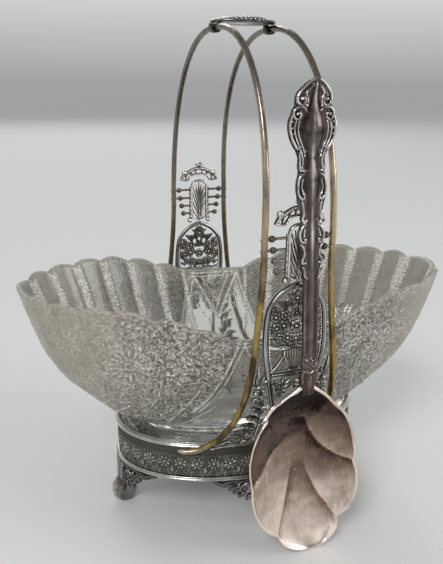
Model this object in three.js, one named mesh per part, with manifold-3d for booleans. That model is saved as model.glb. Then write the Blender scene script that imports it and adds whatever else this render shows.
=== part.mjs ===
// A brides basket: an oval footed base with a dish, two wire handles with cast side panels,
// a loose glass bowl and a serving spoon that stands in front. Millimetres, +Z up.
// X runs along the bowl, the spoon stands on the -Y side, the feet stand on z = 0.
import * as THREE from 'three';
import { mergeVertices } from 'three/examples/jsm/utils/BufferGeometryUtils.js';
import Module from 'manifold-3d';

const wasm = await Module();
wasm.setup();
const { Manifold, Mesh: SolidMesh } = wasm;

// driving sizes
const band_a = 72.4;            // half length of the oval band, outside
const band_b = 47.2;            // half width of the oval band, outside
const band_wall = 1.4;
const band_low_z = 32.2;
const band_top_z = 50.0;
const foot_top_z = 29.2;        // where the feet meet the lower moulding
const bracket_metal = 2.2;
const wing_reach = 33.0;        // a foot's bracket runs this far each way along the oval
const dish_floor_z = 46.0;
const dish_metal = 1.0;
const sheet_out = 72.0;         // the handles and side panels stand this far from the middle
const sheet_foot = 51.0;        // and this far where they reach the band's rim
const sheet_foot_z = 52.0;
const sheet_full_z = 113.0;
const handle_top_z = 262.4;
const handle_spring_z = 170.0;  // the legs turn into the arch here
const handle_power = 2.30;
const wire_radius = 1.65;
const wire_gap_top = 30.0;      // distance between the two handles at the top
const wire_gap_leg = 34.4;
const plate = 1.8;              // thickness of the cast side panels
const bowl_length = 120.5;      // half length of the bowl's rim
const bowl_width = 64.4;        // half width of the bowl's rim
const bowl_foot_z = 46.3;       // rests on the dish's floor
const bowl_rim_z = 132.2;
const bowl_notch_z = 117.4;     // the rim is lower where the handles pass
const bowl_notch_half = 19.6;
const bowl_turn = THREE.MathUtils.degToRad(-6);
const scallop = 2.6;             // height of the rim's scallops
const lobe_swell = 0.011;       // each scallop swells outward by this share
const stretch_from = 85;        // above this height the wall follows the rim's rise and fall
const spoon_top_z = 238.5;
const ring_steps = 48;          // steps round the oval of the base
const weld = 1e-4;              // points nearer than this are one point
const tau = 2 * Math.PI;

const looks = {
  band: { color: 0x77756e, metalness: 0.9, roughness: 0.45 },
  moulding: { color: 0xb5b2aa, metalness: 0.95, roughness: 0.3 },
  polished: { color: 0xc4bfb0, metalness: 1.0, roughness: 0.18 },
  foot: { color: 0x8f8c84, metalness: 0.95, roughness: 0.4 },
  wire: { color: 0xa8996f, metalness: 1.0, roughness: 0.35 },
  cast: { color: 0x7f7c74, metalness: 0.95, roughness: 0.42 },
  frame: { color: 0x8c8a84, metalness: 0.95, roughness: 0.35 },
  glass: { color: 0xd8d6cc, metalness: 0.0, roughness: 0.08, transparent: true, opacity: 0.35 },
  spoon: { color: 0xb39e93, metalness: 1.0, roughness: 0.28 },
};

// the whole object, and inside it one group for each thing that comes apart
const basket = new THREE.Group();
const assembly = new THREE.Group();
const base_group = new THREE.Group();
const handle_group = new THREE.Group();
const bowl_group = new THREE.Group();
const spoon_group = new THREE.Group();
assembly.add(base_group, handle_group, bowl_group, spoon_group);
basket.add(assembly);
bowl_group.rotation.z = bowl_turn;

function add(group, name, geometry, look) {
  const mesh = new THREE.Mesh(geometry, new THREE.MeshStandardMaterial(looks[look]));
  mesh.name = name;
  group.add(mesh);
}

const lerp = (a, b, t) => a + (b - a) * t;
const clamp = (v, a, b) => Math.min(b, Math.max(a, v));

// straight-line table lookup, keys rising
function table(keys, values, x) {
  if (x <= keys[0]) return values[0];
  for (let i = 1; i < keys.length; i++) {
    const share = (x - keys[i - 1]) / (keys[i] - keys[i - 1]);
    if (x <= keys[i]) return lerp(values[i - 1], values[i], share);
  }
  return values[values.length - 1];
}

// closed surface from rings of points; a ring may be one point (a pole)
function loft(rings, closedRound = false) {
  const position = [];
  const index = [];
  const starts = [];
  for (const ring of rings) {
    starts.push(position.length / 3);
    for (const p of ring) position.push(...p);
  }
  const last = rings.length - (closedRound ? 0 : 1);
  for (let i = 0; i < last; i++) {
    const j = (i + 1) % rings.length;
    const n = rings[i].length;
    const m = rings[j].length;
    const count = Math.max(n, m);
    for (let k = 0; k < count; k++) {
      const a = starts[i] + (n === 1 ? 0 : k);
      const b = starts[i] + (n === 1 ? 0 : (k + 1) % n);
      const c = starts[j] + (m === 1 ? 0 : k);
      const d = starts[j] + (m === 1 ? 0 : (k + 1) % m);
      if (n > 1) index.push(a, b, d);
      if (m > 1) index.push(a, d, c);
    }
  }
  const geometry = new THREE.BufferGeometry();
  geometry.setAttribute('position', new THREE.Float32BufferAttribute(position, 3));
  geometry.setIndex(index);
  return outward(geometry);
}

// turns a closed geometry right side out when its volume reads negative
function outward(geometry) {
  const p = geometry.attributes.position;
  const index = geometry.index.array;
  const a = new THREE.Vector3();
  const b = new THREE.Vector3();
  const c = new THREE.Vector3();
  let volume = 0;
  for (let i = 0; i < index.length; i += 3) {
    a.fromBufferAttribute(p, index[i]);
    b.fromBufferAttribute(p, index[i + 1]);
    c.fromBufferAttribute(p, index[i + 2]);
    volume += a.dot(b.clone().cross(c));
  }
  if (volume < 0) {
    for (let i = 0; i < index.length; i += 3) {
      const keep = index[i + 1];
      index[i + 1] = index[i + 2];
      index[i + 2] = keep;
    }
  }
  geometry.computeVertexNormals();
  return geometry;
}

// one closed mesh with shared points, its faces pointing out
function merged(geometry) {
  geometry.deleteAttribute('normal');
  geometry.deleteAttribute('uv');
  return outward(mergeVertices(geometry, weld));
}

function toSolid(geometry) {
  const closed = merged(geometry.clone());
  const mesh = new SolidMesh({
    numProp: 3,
    vertProperties: new Float32Array(closed.attributes.position.array),
    triVerts: new Uint32Array(closed.index.array),
  });
  return new Manifold(mesh);
}

function fromSolid(solid) {
  const mesh = solid.getMesh();
  const geometry = new THREE.BufferGeometry();
  const position = Array.from(mesh.vertProperties);
  geometry.setAttribute('position', new THREE.Float32BufferAttribute(position, 3));
  geometry.setIndex(Array.from(mesh.triVerts));
  geometry.computeVertexNormals();
  return geometry;
}

const join = (...parts) => fromSolid(parts.map(toSolid).reduce((a, b) => a.add(b)));
const cutAway = (body, tools) => {
  const left = tools.map(toSolid).reduce((a, b) => a.subtract(b), toSolid(body));
  return fromSolid(left);
};

function mapPoints(geometry, f) {
  const p = geometry.attributes.position;
  for (let i = 0; i < p.count; i++) {
    const q = f(p.getX(i), p.getY(i), p.getZ(i));
    p.setXYZ(i, q[0], q[1], q[2]);
  }
  p.needsUpdate = true;
  geometry.computeVertexNormals();
  return geometry;
}

// a point on an oval, moved outward along its normal
function ovalPoint(a, b, angle, out) {
  const c = Math.cos(angle);
  const s = Math.sin(angle);
  const n = Math.hypot(b * c, a * s);
  return [a * c + out * b * c / n, b * s + out * a * s / n];
}

// a closed profile of [outward, z] carried round the band's oval
function ovalRing(profile, steps) {
  const rings = [];
  for (let i = 0; i < steps; i++) {
    const angle = tau * i / steps;
    rings.push(profile.map(([out, z]) => [...ovalPoint(band_a, band_b, angle, out), z]));
  }
  return loft(rings, true);
}

// a closed outline from its right half, which runs from the bottom or the top to the middle line
function mirrored(right, last_on_middle) {
  const kept = last_on_middle ? right.slice(0, -1) : right;
  const left = kept.map(([x, z]) => [-x, z]).reverse();
  return [...right, ...left];
}

// a list of points mirrored in x where side is -1, in an order that keeps its direction round
const onSide = (list, side) => (side < 0 ? list.map(([x, z]) => [-x, z]).reverse() : list);

// a round rod through points, its radius given per point, both ends closed
function rod(points, radii, sides) {
  const rings = [];
  const curve = points.map((p) => new THREE.Vector3(...p));
  const start = curve[1].clone().sub(curve[0]).normalize();
  const runs_along_x = Math.abs(start.x) > 0.9;
  let side = runs_along_x ? new THREE.Vector3(0, 0, 1) : new THREE.Vector3(1, 0, 0);
  for (let i = 0; i < curve.length; i++) {
    const next = curve[Math.min(i + 1, curve.length - 1)];
    const ahead = next.clone().sub(curve[Math.max(i - 1, 0)]).normalize();
    side = side.clone().sub(ahead.clone().multiplyScalar(side.dot(ahead))).normalize();
    const other = ahead.clone().cross(side);
    const ring = [];
    for (let k = 0; k < sides; k++) {
      const angle = tau * k / sides;
      const p = curve[i].clone();
      p.addScaledVector(side, radii[i] * Math.cos(angle));
      p.addScaledVector(other, radii[i] * Math.sin(angle));
      ring.push([p.x, p.y, p.z]);
    }
    rings.push(ring);
  }
  return loft([[points[0]], ...rings, [points[points.length - 1]]]);
}

// a flat plate cut to an outline, standing in the XZ plane, with its middle on y = 0
function plateOf(outline, holes = [], thick = plate) {
  const toPoints = (list) => list.map((p) => new THREE.Vector2(...p));
  const shape = new THREE.Shape(toPoints(outline));
  for (const hole of holes) shape.holes.push(new THREE.Path(toPoints(hole)));
  const geometry = new THREE.ExtrudeGeometry(shape, { depth: thick, bevelEnabled: false });
  geometry.translate(0, 0, -thick / 2);
  geometry.rotateX(Math.PI / 2);
  return merged(geometry);
}

function ball(x, y, z, r, width_steps = 6, height_steps = 4) {
  const geometry = new THREE.SphereGeometry(r, width_steps, height_steps);
  geometry.translate(x, y, z);
  return merged(geometry);
}

// a level oval ring of points
function oval(a, b, z, steps) {
  const ring = [];
  for (let i = 0; i < steps; i++) {
    const angle = tau * i / steps;
    ring.push([a * Math.cos(angle), b * Math.sin(angle), z]);
  }
  return ring;
}

// the leaning sheet that handles and panels follow: distance from the middle at x, z
function sheet(x, z) {
  const u = clamp((z - sheet_foot_z) / (sheet_full_z - sheet_foot_z), 0, 1);
  const rise = lerp(sheet_foot, sheet_out, Math.sin(u * Math.PI / 2));
  const fade = clamp((80 - z) / 25, 0, 1);
  const drop = sheet_foot * (1 - Math.sqrt(Math.max(0, 1 - (x / 76.5) ** 2)));
  return rise - drop * fade;
}

// side is -1 for the front and 1 for the back
function onSheet(geometry, side) {
  return outward(mapPoints(geometry, (x, y, z) => [x, side * sheet(x, z) + y, z]));
}

// base: a band between two mouldings, each a closed profile of [outward, z]
function bandGeometry() {
  return ovalRing([[0, band_low_z], [0.25, 38], [0, band_top_z], [-band_wall, band_top_z],
    [-band_wall, band_low_z]], ring_steps);
}

function rimMouldingGeometry() {
  return ovalRing([[0, 50.2], [1.0, 50.8], [1.4, 51.8], [0.9, 52.7], [-0.4, 53.0], [-1.4, 52.4],
    [-1.6, 51.3], [-1.6, 50.2]], ring_steps);
}

function lowerMouldingGeometry() {
  return ovalRing([[0, 32.0], [1.1, 31.4], [1.5, 30.5], [1.0, 29.6], [-band_wall, 29.5],
    [-band_wall, 32.0]], ring_steps);
}

// dish: a polished tray hung inside the band, with a flat floor for the bowl
function dishGeometry() {
  const under_z = dish_floor_z - dish_metal;
  const top = [[-13.0, dish_floor_z], [-9.5, 46.5], [-6.0, 48.2], [-3.4, 50.6], [-1.9, 51.6]];
  const under = [[-1.9, 50.6], [-2.4, 49.8], [-5.2, 47.2], [-9.3, 45.4], [-13.3, under_z]];
  const rings = [...top, ...under].map(([out, z]) => {
    const ring = [];
    for (let i = 0; i < ring_steps; i++) {
      ring.push([...ovalPoint(band_a, band_b, tau * i / ring_steps, out), z]);
    }
    return ring;
  });
  return loft([[[0, 0, dish_floor_z]], ...rings, [[0, 0, under_z]]]);
}

add(base_group, 'base_band', bandGeometry(), 'band');
add(base_group, 'rim_moulding', rimMouldingGeometry(), 'moulding');
add(base_group, 'lower_moulding', lowerMouldingGeometry(), 'moulding');
add(base_group, 'dish', dishGeometry(), 'polished');

// feet: a winged bracket under the band and a leg that ends in a scrolled toe
const arc_steps = 720;
const arc = [0];
for (let i = 1; i <= arc_steps; i++) {
  const p = ovalPoint(band_a, band_b, tau * (i - 1) / arc_steps, 0);
  const q = ovalPoint(band_a, band_b, tau * i / arc_steps, 0);
  arc.push(arc[i - 1] + Math.hypot(q[0] - p[0], q[1] - p[1]));
}
const arc_total = arc[arc_steps];

// the oval's angle at a distance measured along its edge
function angleAtArc(s) {
  const t = ((s % arc_total) + arc_total) % arc_total;
  let i = 1;
  while (arc[i] < t) i++;
  return tau * (i - 1 + (t - arc[i - 1]) / (arc[i] - arc[i - 1])) / arc_steps;
}

function bracketGeometry() {
  const edge = [[wing_reach, foot_top_z], [wing_reach, 28.0], [29.5, 26.6], [27, 27.0], [24.5, 24.4],
    [21, 24.2], [18.5, 21.0], [15, 20.8], [12, 17.4], [9, 16.8], [7, 13.0], [5, 8]];
  const top = [];
  const top_step = 4;
  for (let s = -wing_reach + top_step; s < wing_reach - 2; s += top_step) top.push([s, foot_top_z]);
  const upper_gap = [[20.6, 26.6], [21.8, 25.2], [23.8, 26.2], [23.2, 27.4]];
  const lower_gap = [[11.4, 21.4], [14.6, 22.6], [14.8, 24.6], [11.8, 24.8]];
  const gaps = [-1, 1].flatMap((side) => [onSide(upper_gap, side), onSide(lower_gap, side)]);
  const bracket = plateOf([...mirrored(edge, false), ...top], gaps, bracket_metal);
  bracket.translate(0, bracket_metal / 2 - 0.5, 0);
  return bracket;
}

// rows of [z, half width along the band, inner, outer]
function legGeometry() {
  const rows = [[0, 4.2, -5.5, 0.4], [1.4, 5.8, -7.6, 2.8], [4.5, 7.0, -8.8, 4.6], [8.0, 7.2, -8.6, 5.1],
    [11.0, 6.2, -6.6, 4.2], [13.4, 5.0, -4.6, 2.6], [17, 4.6, -3.6, 1.6], [22, 5.4, -2.8, 1.3],
    [26, 6.6, -2.2, 1.1], [foot_top_z, 7.4, -1.8, 0.9]];
  const sides = 8;
  const rings = rows.map(([z, half_width, inner, outer]) => {
    const middle = (inner + outer) / 2;
    const half_depth = (outer - inner) / 2;
    const ring = [];
    for (let k = 0; k < sides; k++) {
      const angle = tau * k / sides;
      ring.push([half_width * Math.cos(angle), -middle - half_depth * Math.sin(angle), z]);
    }
    return ring;
  });
  return loft([[[0, 2.5, 0]], ...rings, [[0, 0.4, foot_top_z]]]);
}

// made flat, with outward along -Y, then bent round the band
function footGeometry(quarter) {
  return outward(mapPoints(join(bracketGeometry(), legGeometry()), (s, y, z) => {
    const angle = angleAtArc(quarter * arc_total / 4 - s);
    return [...ovalPoint(band_a, band_b, angle, -y), z];
  }));
}

for (const [quarter, name] of ['foot_right', 'foot_back', 'foot_left', 'foot_front'].entries()) {
  add(base_group, name, footGeometry(quarter), 'foot');
}

// handles: two wires that run from the band over the top and down again
function handlePath(side) {
  const leg = [[49.5, 50.4], [46.5, 49.9], [43, 50.3], [38.8, 51.6], [35.2, 54.8], [31.8, 59.5],
    [29.3, 64.5], [26.6, 73.5], [24.2, 86], [22.6, 98], [21.3, 110], [20.0, 121.5], [19.0, 132],
    [18.1, 142], [17.5, 152], [17.2, 162]];
  const end_radii = [0.7, 1.25, 1.5];   // the wire's end tapers where it lies on the band
  const clear_below_z = 60;
  const front = leg.map(([x, z], i) => {
    const clear = z < clear_below_z ? 0.9 : 0;
    const radius = i < end_radii.length ? end_radii[i] : wire_radius;
    return { at: [side * x, -(sheet(x, z) + clear), z], radius };
  });
  const over = [];
  const over_steps = 20;
  const rise = handle_top_z - handle_spring_z;
  for (let i = 0; i <= over_steps; i++) {
    const along = Math.cos(Math.PI * i / over_steps);
    const up = Math.abs(Math.sin(Math.PI * i / over_steps));
    const y = -sheet_out * Math.sign(along) * Math.abs(along) ** (2 / handle_power);
    const z = handle_spring_z + rise * up ** (2 / handle_power);
    const x = side * lerp(wire_gap_top, wire_gap_leg, (handle_top_z - z) / rise) / 2;
    over.push({ at: [x, y, z], radius: wire_radius });
  }
  const back = front.map(({ at, radius }) => ({ at: [at[0], -at[1], at[2]], radius })).reverse();
  return [...front, ...over, ...back];
}

for (const [name, side] of [['handle_left', -1], ['handle_right', 1]]) {
  const path = handlePath(side);
  const wire = rod(path.map((step) => step.at), path.map((step) => step.radius), 8);
  add(handle_group, name, wire, 'wire');
}

// medallion over the handles' tops: an oval dome, rows of [share of the full size, z]
const medal_a = 17.6;
const medal_b = 11.6;
const medal_low_z = 264.4;
const medal_rows = [[0.86, 264.4], [0.97, 264.5], [1.0, 265.2], [0.96, 266.0], [0.82, 266.2],
  [0.76, 266.6], [0.5, 267.7], [0.25, 268.3]];
const medal_rings = medal_rows.map(([share, z]) => oval(medal_a * share, medal_b * share, z, 24));
const medallion = loft([[[0, 0, medal_low_z]], ...medal_rings, [[0, 0, 268.5]]]);
add(handle_group, 'top_medallion', medallion, 'moulding');

// a clasp holds the medallion to each wire: a strap bent round the wire from below
const clasp_length = 5.0;
const clasp_inner = wire_radius + 0.25;
const clasp_outer = wire_radius + 1.1;
const clasp_top_z = 264.15;
const clasp_steps = 8;

function claspOutline(x) {
  const halfTurn = (r, start, direction) => {
    const points = [];
    for (let i = 0; i <= clasp_steps; i++) {
      const angle = start + direction * Math.PI * i / clasp_steps;
      points.push([x + r * Math.cos(angle), handle_top_z + r * Math.sin(angle)]);
    }
    return points;
  };
  const left_end = [[x - clasp_outer, clasp_top_z], [x - clasp_inner, clasp_top_z]];
  const right_end = [[x + clasp_inner, clasp_top_z], [x + clasp_outer, clasp_top_z]];
  return [...left_end, ...halfTurn(clasp_inner, Math.PI, 1), ...right_end, ...halfTurn(clasp_outer, 0, -1)];
}

for (const [name, side] of [['medallion_clasp_left', -1], ['medallion_clasp_right', 1]]) {
  const clasp = plateOf(claspOutline(side * wire_gap_top / 2), [], clasp_length);
  add(handle_group, name, clasp, 'cast');
}

// side panels: castings that fill the space between the wires, drawn flat and laid on the sheet
const frame_keys = [53.5, 64, 77, 93, 102, 110.7, 118, 126, 132, 136.5, 140.3, 144.2, 146.8, 148];
const frame_half = [5.4, 6.2, 7.9, 12.0, 14.5, 16.2, 16.8, 16.6, 16.0, 15.0, 12.6, 8.7, 3.9, 0];
const frame_metal = 2.4;        // width of the arch's moulding
const frame_depth = 2.6;
const panel_gap = 0.3;          // between one casting and the next

// the arch's outline from the rim up to the top and down again, moved inward by inset
function archOutline(inset) {
  const last = frame_keys.length - 1;
  const right = frame_keys.map((z, i) => {
    const ahead = Math.min(i + 1, last);
    const behind = Math.max(i - 1, 0);
    let dx = frame_half[ahead] - frame_half[behind];
    let dz = frame_keys[ahead] - frame_keys[behind];
    if (i === 0) dx = 0;
    if (i === last) dz = 0;
    const length = Math.hypot(dx, dz);
    return [frame_half[i] - inset * dz / length, z + inset * dx / length];
  });
  return mirrored(right, true);
}

function frameGeometry() {
  return plateOf([...archOutline(0), ...archOutline(frame_metal).reverse()], [], frame_depth);
}

// half the clear width inside the arch's moulding
const inside = (z) => table(frame_keys, frame_half, z) - frame_metal - panel_gap;

// pierced gaps round one flower: count small holes on a circle
function flowerGaps(x, z, count, phase) {
  const circle_radius = 4.3;
  const gap_radius = 0.95;
  const gap_sides = 5;
  const gaps = [];
  for (let i = 0; i < count; i++) {
    const angle = phase + tau * i / count;
    const middle_x = x + circle_radius * Math.cos(angle);
    const middle_z = z + circle_radius * Math.sin(angle);
    const gap = [];
    for (let k = 0; k < gap_sides; k++) {
      const turn = angle + tau * k / gap_sides;
      gap.push([middle_x + gap_radius * Math.cos(turn), middle_z + gap_radius * Math.sin(turn)]);
    }
    gaps.push(gap);
  }
  return gaps;
}

// flower screen that fills the arch: a plate pierced round its flowers and leaves
function screenGeometry() {
  const side_edge = [116.4, 120, 124, 128, 132, 136].map((z) => [inside(z), z]);
  const crown = [[9.6, 139.9], [6.2, 142.4], [2.6, 144.3], [0, 144.9]];
  const outline = mirrored([...side_edge, ...crown], true);
  const edge_gap = [[11.6, 122.4], [12.6, 124.6], [11.6, 126.2]];
  const shoulder_gap = [[7.2, 136.0], [9.6, 135.2], [8.6, 138.2]];
  const gaps = [...flowerGaps(0, 137.2, 5, 0.3), ...flowerGaps(-6.4, 127.8, 6, 0.2),
    ...flowerGaps(6.4, 127.8, 6, 0.84), ...flowerGaps(0, 120.6, 5, -0.6)];
  for (const side of [-1, 1]) gaps.push(onSide(edge_gap, side), onSide(shoulder_gap, side));
  return cutAway(plateOf(outline), gaps.map((gap) => plateOf(gap, [], plate + 2)));
}

// a fan of ribs that opens upward from a small base, with two pointed gaps on each side
function fanGeometry() {
  const top_z = 115.8;
  const dip_z = top_z - 0.9;
  const right = [[2.2, 103.6], [inside(106) - 5.2, 104.2], [inside(109) - 0.6, 109.5], [inside(112), 113],
    [inside(115), top_z], [9, dip_z], [6, top_z], [3, dip_z], [0, top_z]];
  const low_gap = [[3.4, 105.0], [6.8, 105.6], [11.2, 110.2]];
  const high_gap = [[3.0, 106.6], [11.2, 113.4], [8.2, 113.6]];
  const gaps = [-1, 1].flatMap((side) => [onSide(low_gap, side), onSide(high_gap, side)]);
  return plateOf(mirrored(right, true), gaps);
}

// crossbar with two small palmettes hanging under it
function palmetteGeometry() {
  const high_z = 103.2;
  const low_z = 100.4;
  const spacing = 9.8;
  const half_leaf = [[4.3, -0.6], [4.0, -3.4], [2.9, -2.0], [2.6, -5.6], [1.5, -4.0], [0.9, -8.6],
    [1.0, -12.6], [0, -13.6]];
  const leaf = mirrored(half_leaf, true).reverse();
  const leaves = [-spacing / 2, spacing / 2].flatMap((x) => leaf.map(([dx, dz]) => [x + dx, low_z + dz]));
  const half_low = inside(low_z) - 0.1;
  const half_high = inside(high_z) - 0.1;
  const bar = [[half_low, low_z], [half_high, high_z], [-half_high, high_z], [-half_low, low_z]];
  return plateOf([...bar, ...leaves]);
}

// crest between the arch frame and the roof: the top of a hoop filled with lancet leaves
function crestGeometry() {
  const right = [[0.9, 148.5], [1.6, 151], [4.6, 153.6], [4.6, 156.4], [2.4, 155.2], [4.6, 159.2],
    [4.6, 161.8], [2.6, 160.6], [4.6, 164.8], [4.6, 167], [3.4, 166.6], [4.7, 170.95], [6.8, 171.0],
    [5.4, 173.4], [3.0, 174.8], [0, 175.4]];
  return plateOf(mirrored(right, true));
}

// upright bar with four ball-ended pegs; the top two reach the handle
function pegRackGeometry(side) {
  const bar_low_z = 149.0;
  const bar_high_z = 170.7;
  const bar_outline = [[5.0, bar_low_z], [6.8, bar_low_z], [6.8, bar_high_z], [5.0, bar_high_z]];
  const parts = [plateOf(onSide(bar_outline, side)), ball(side * 6.0, 0, bar_low_z, 1.7)];
  // each peg's height, its bead's place and its end
  const pegs = [[169.1, 13.6, 15.1], [163.8, 12.9, 15.1], [158.8, 12.0, 12.2], [153.8, 10.8, 11.0]];
  for (const [z, bead, end] of pegs) {
    parts.push(rod([[side * 6.2, 0, z], [side * end, 0, z]], [0.65, 0.65], 4));
    parts.push(ball(side * bead, 0, z, 1.5));
  }
  return join(...parts);
}

// curved roof with upturned ends and knobs
function roofGeometry() {
  const roof_depth = 3.4;
  const knob_x = 9.9;
  const right = [[0, 183.4], [2.4, 183.2], [5.2, 182.3], [7.4, 181.0], [8.6, 180.6], [9.8, 181.4],
    [11.0, 180.2], [11.2, 178.2], [12.6, 176.8], [12.4, 175.6], [9.0, 174.4], [6.6, 174.6], [5.4, 176.6],
    [2.6, 178.2], [0, 178.6]];
  const left = right.slice(1, -1).map(([x, z]) => [-x, z]).reverse();
  const knobs = [-1, 1].map((side) => ball(side * knob_x, 0, 180.0, 1.9, 8, 5));
  return join(plateOf([...right, ...left], [], roof_depth), ...knobs);
}

// turned knob on the roof: rows of [radius, z]
function finialGeometry() {
  const profile = [[0.9, 183.75], [2.2, 184.4], [2.6, 185.2], [2.0, 186.1], [0.8, 186.7]];
  return loft([[[0, 0, 183.75]], ...profile.map(([r, z]) => oval(r, r, z, 10)), [[0, 0, 187.0]]]);
}

// leafy spray between a handle and the frame, which runs out under the handle along the rim
function vineGeometry(side) {
  const inner_edge = [[18.9, 108.4], [17.6, 105], [17.0, 101.6], [16.2, 98.4], [14.6, 95.2], [14.2, 91.6],
    [12.4, 88.4], [11.8, 84.6], [10.2, 81], [10.6, 77.6], [9.2, 74.2], [9.8, 70.8], [9.0, 67.4],
    [10.4, 64.6], [10.6, 60.6]];
  const foot = [[13.4, 58.4], [14.2, 55.4], [17.2, 55.8], [19.4, 53.6], [22.4, 54.4], [25.0, 52.6],
    [28.0, 53.2], [31.0, 51.2], [34.2, 51.0]];
  const outer_edge = [[31.4, 54.6], [28.9, 57.4], [27.2, 60.2], [26.2, 63.4], [24.4, 66.8], [23.4, 71.2],
    [22.6, 76.0], [21.2, 81], [21.0, 86.2], [20.0, 90.6], [20.2, 95.2], [19.2, 99.6], [19.5, 104]];
  const gaps = [[[15.2, 84], [17.2, 86.4], [17.6, 82.6]], [[13.0, 73.4], [15.2, 76.4], [15.6, 72.2]],
    [[16.0, 62.6], [18.6, 65.2], [19.0, 61.0]]];
  const outline = onSide([...inner_edge, ...foot, ...outer_edge], side);
  return plateOf(outline, gaps.map((gap) => onSide(gap, side)));
}

for (const [face, side] of [['front', -1], ['back', 1]]) {
  add(handle_group, `arch_frame_${face}`, onSheet(frameGeometry(), side), 'frame');
  add(handle_group, `flower_screen_${face}`, onSheet(screenGeometry(), side), 'cast');
  add(handle_group, `fan_${face}`, onSheet(fanGeometry(), side), 'cast');
  add(handle_group, `palmettes_${face}`, onSheet(palmetteGeometry(), side), 'cast');
  add(handle_group, `crest_${face}`, onSheet(crestGeometry(), side), 'cast');
  add(handle_group, `peg_rack_${face}_left`, onSheet(pegRackGeometry(-1), side), 'cast');
  add(handle_group, `peg_rack_${face}_right`, onSheet(pegRackGeometry(1), side), 'cast');
  add(handle_group, `roof_${face}`, onSheet(roofGeometry(), side), 'cast');
  add(handle_group, `finial_${face}`, onSheet(finialGeometry(), side), 'cast');
  add(handle_group, `vine_${face}_left`, onSheet(vineGeometry(-1), side), 'cast');
  add(handle_group, `vine_${face}_right`, onSheet(vineGeometry(1), side), 'cast');
}

// glass bowl: an oval boat with a scalloped rim, lowered where the handles pass
// the low points between scallops, in degrees round the oval, over one quarter of it
const quarter_cusps = [15, 28, 40.5, 51.5, 61.5, 71, 80.2];
const far_cusps = [...quarter_cusps].reverse();
const cusps = [...quarter_cusps, ...far_cusps.map((c) => 180 - c), ...quarter_cusps.map((c) => 180 + c),
  ...far_cusps.map((c) => 360 - c)];

// steps round the rim, each with its angle and how high it stands in its scallop, from 0 to 1
function rimSteps(per_scallop) {
  const list = [];
  for (let i = 0; i < cusps.length; i++) {
    const from = cusps[i];
    const to = i + 1 < cusps.length ? cusps[i + 1] : cusps[0] + 360;
    const middle = ((from + to) / 2) % 180;
    const notch = Math.abs(middle - 90) < 5;
    const tip = middle < 5 || middle > 175;
    const count = tip || notch ? per_scallop + 2 : per_scallop;
    for (let k = 0; k < count; k++) {
      const angle = THREE.MathUtils.degToRad(lerp(from, to, k / count));
      const hump = notch ? 0 : Math.sin(Math.PI * k / count) ** 0.8;
      list.push({ angle, hump, notch });
    }
  }
  return list;
}
const rim_steps = rimSteps(2);
const ramp_end_x = 80;          // the rim has risen to its full height here

function rimHeight({ angle, hump, notch }) {
  const x = Math.abs(bowl_length * Math.cos(angle));
  const u = clamp((x - bowl_notch_half) / (ramp_end_x - bowl_notch_half), 0, 1);
  const level = bowl_rim_z - (bowl_rim_z - bowl_notch_z) * (1 - u) ** 1.6;
  const wave = notch ? 0 : scallop * (hump - 0.5);
  return level + (u === 0 ? 0.3 * wave : wave);
}

// one ring of the wall; lobe says how much of the scallops' swelling it takes, from 0 to 1
function bowlRing([a, b, z, lobe]) {
  return rim_steps.map((step) => {
    const swell = 1 + lobe_swell * lobe * (step.hump - 0.3);
    const up = clamp((z - stretch_from) / (bowl_rim_z - stretch_from), 0, 1);
    const height = z <= stretch_from ? z : lerp(stretch_from, rimHeight(step), up);
    return [a * swell * Math.cos(step.angle), b * swell * Math.sin(step.angle), height];
  });
}

// rings of [half length, half width, z, lobe]: the foot ring, up the outside, down the inside
function bowlGeometry() {
  const foot = [[53.0, 22.0, 49.4, 0], [54.4, 22.8, bowl_foot_z, 0], [58.0, 26.0, bowl_foot_z, 0]];
  const outer = [[60.0, 28.0, 52.0, 0], [68.5, 31.4, 53.2, 0], [73.5, 33.8, 56.4, 0], [87, 41.4, 68.5, 0.2],
    [100.6, 49.0, 82, 0.4], [109.4, 55.2, 97, 0.6], [116.4, 60.8, 117, 0.9],
    [bowl_length, bowl_width, 131.6, 1]];
  const inner = [[119.6, 63.5, bowl_rim_z, 1], [117.4, 61.3, 131.6, 1], [112.0, 56.6, 117, 0.9],
    [105.0, 51.0, 97.6, 0.6], [95, 43.8, 82.5, 0.4], [78, 34.2, 68, 0.1], [56, 23.8, 61.0, 0]];
  const rings = [...foot, ...outer, ...inner].map(bowlRing);
  return loft([[[0, 0, 49.4]], ...rings, [[0, 0, 58.8]]]);
}
add(bowl_group, 'glass_bowl', bowlGeometry(), 'glass');

// spoon: a shell bowl with its hollow to the front and an ornate flat handle
const spoon_neck_z = 97.0;
const spoonX = (z) => table([0, 50, 90, 105, 150, 205, 220, 230, spoon_top_z],
  [5.4, 4.4, 3.6, 3.9, 3.4, 2.2, 2.3, 2.7, 4.2], z);
const spoonY = (z) => table([0, 14, 34, spoon_neck_z, 130, 186, spoon_top_z],
  [-77.9, -78.8, -79.7, -80.5, -79.6, -76.4, -73.8], z);

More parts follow.
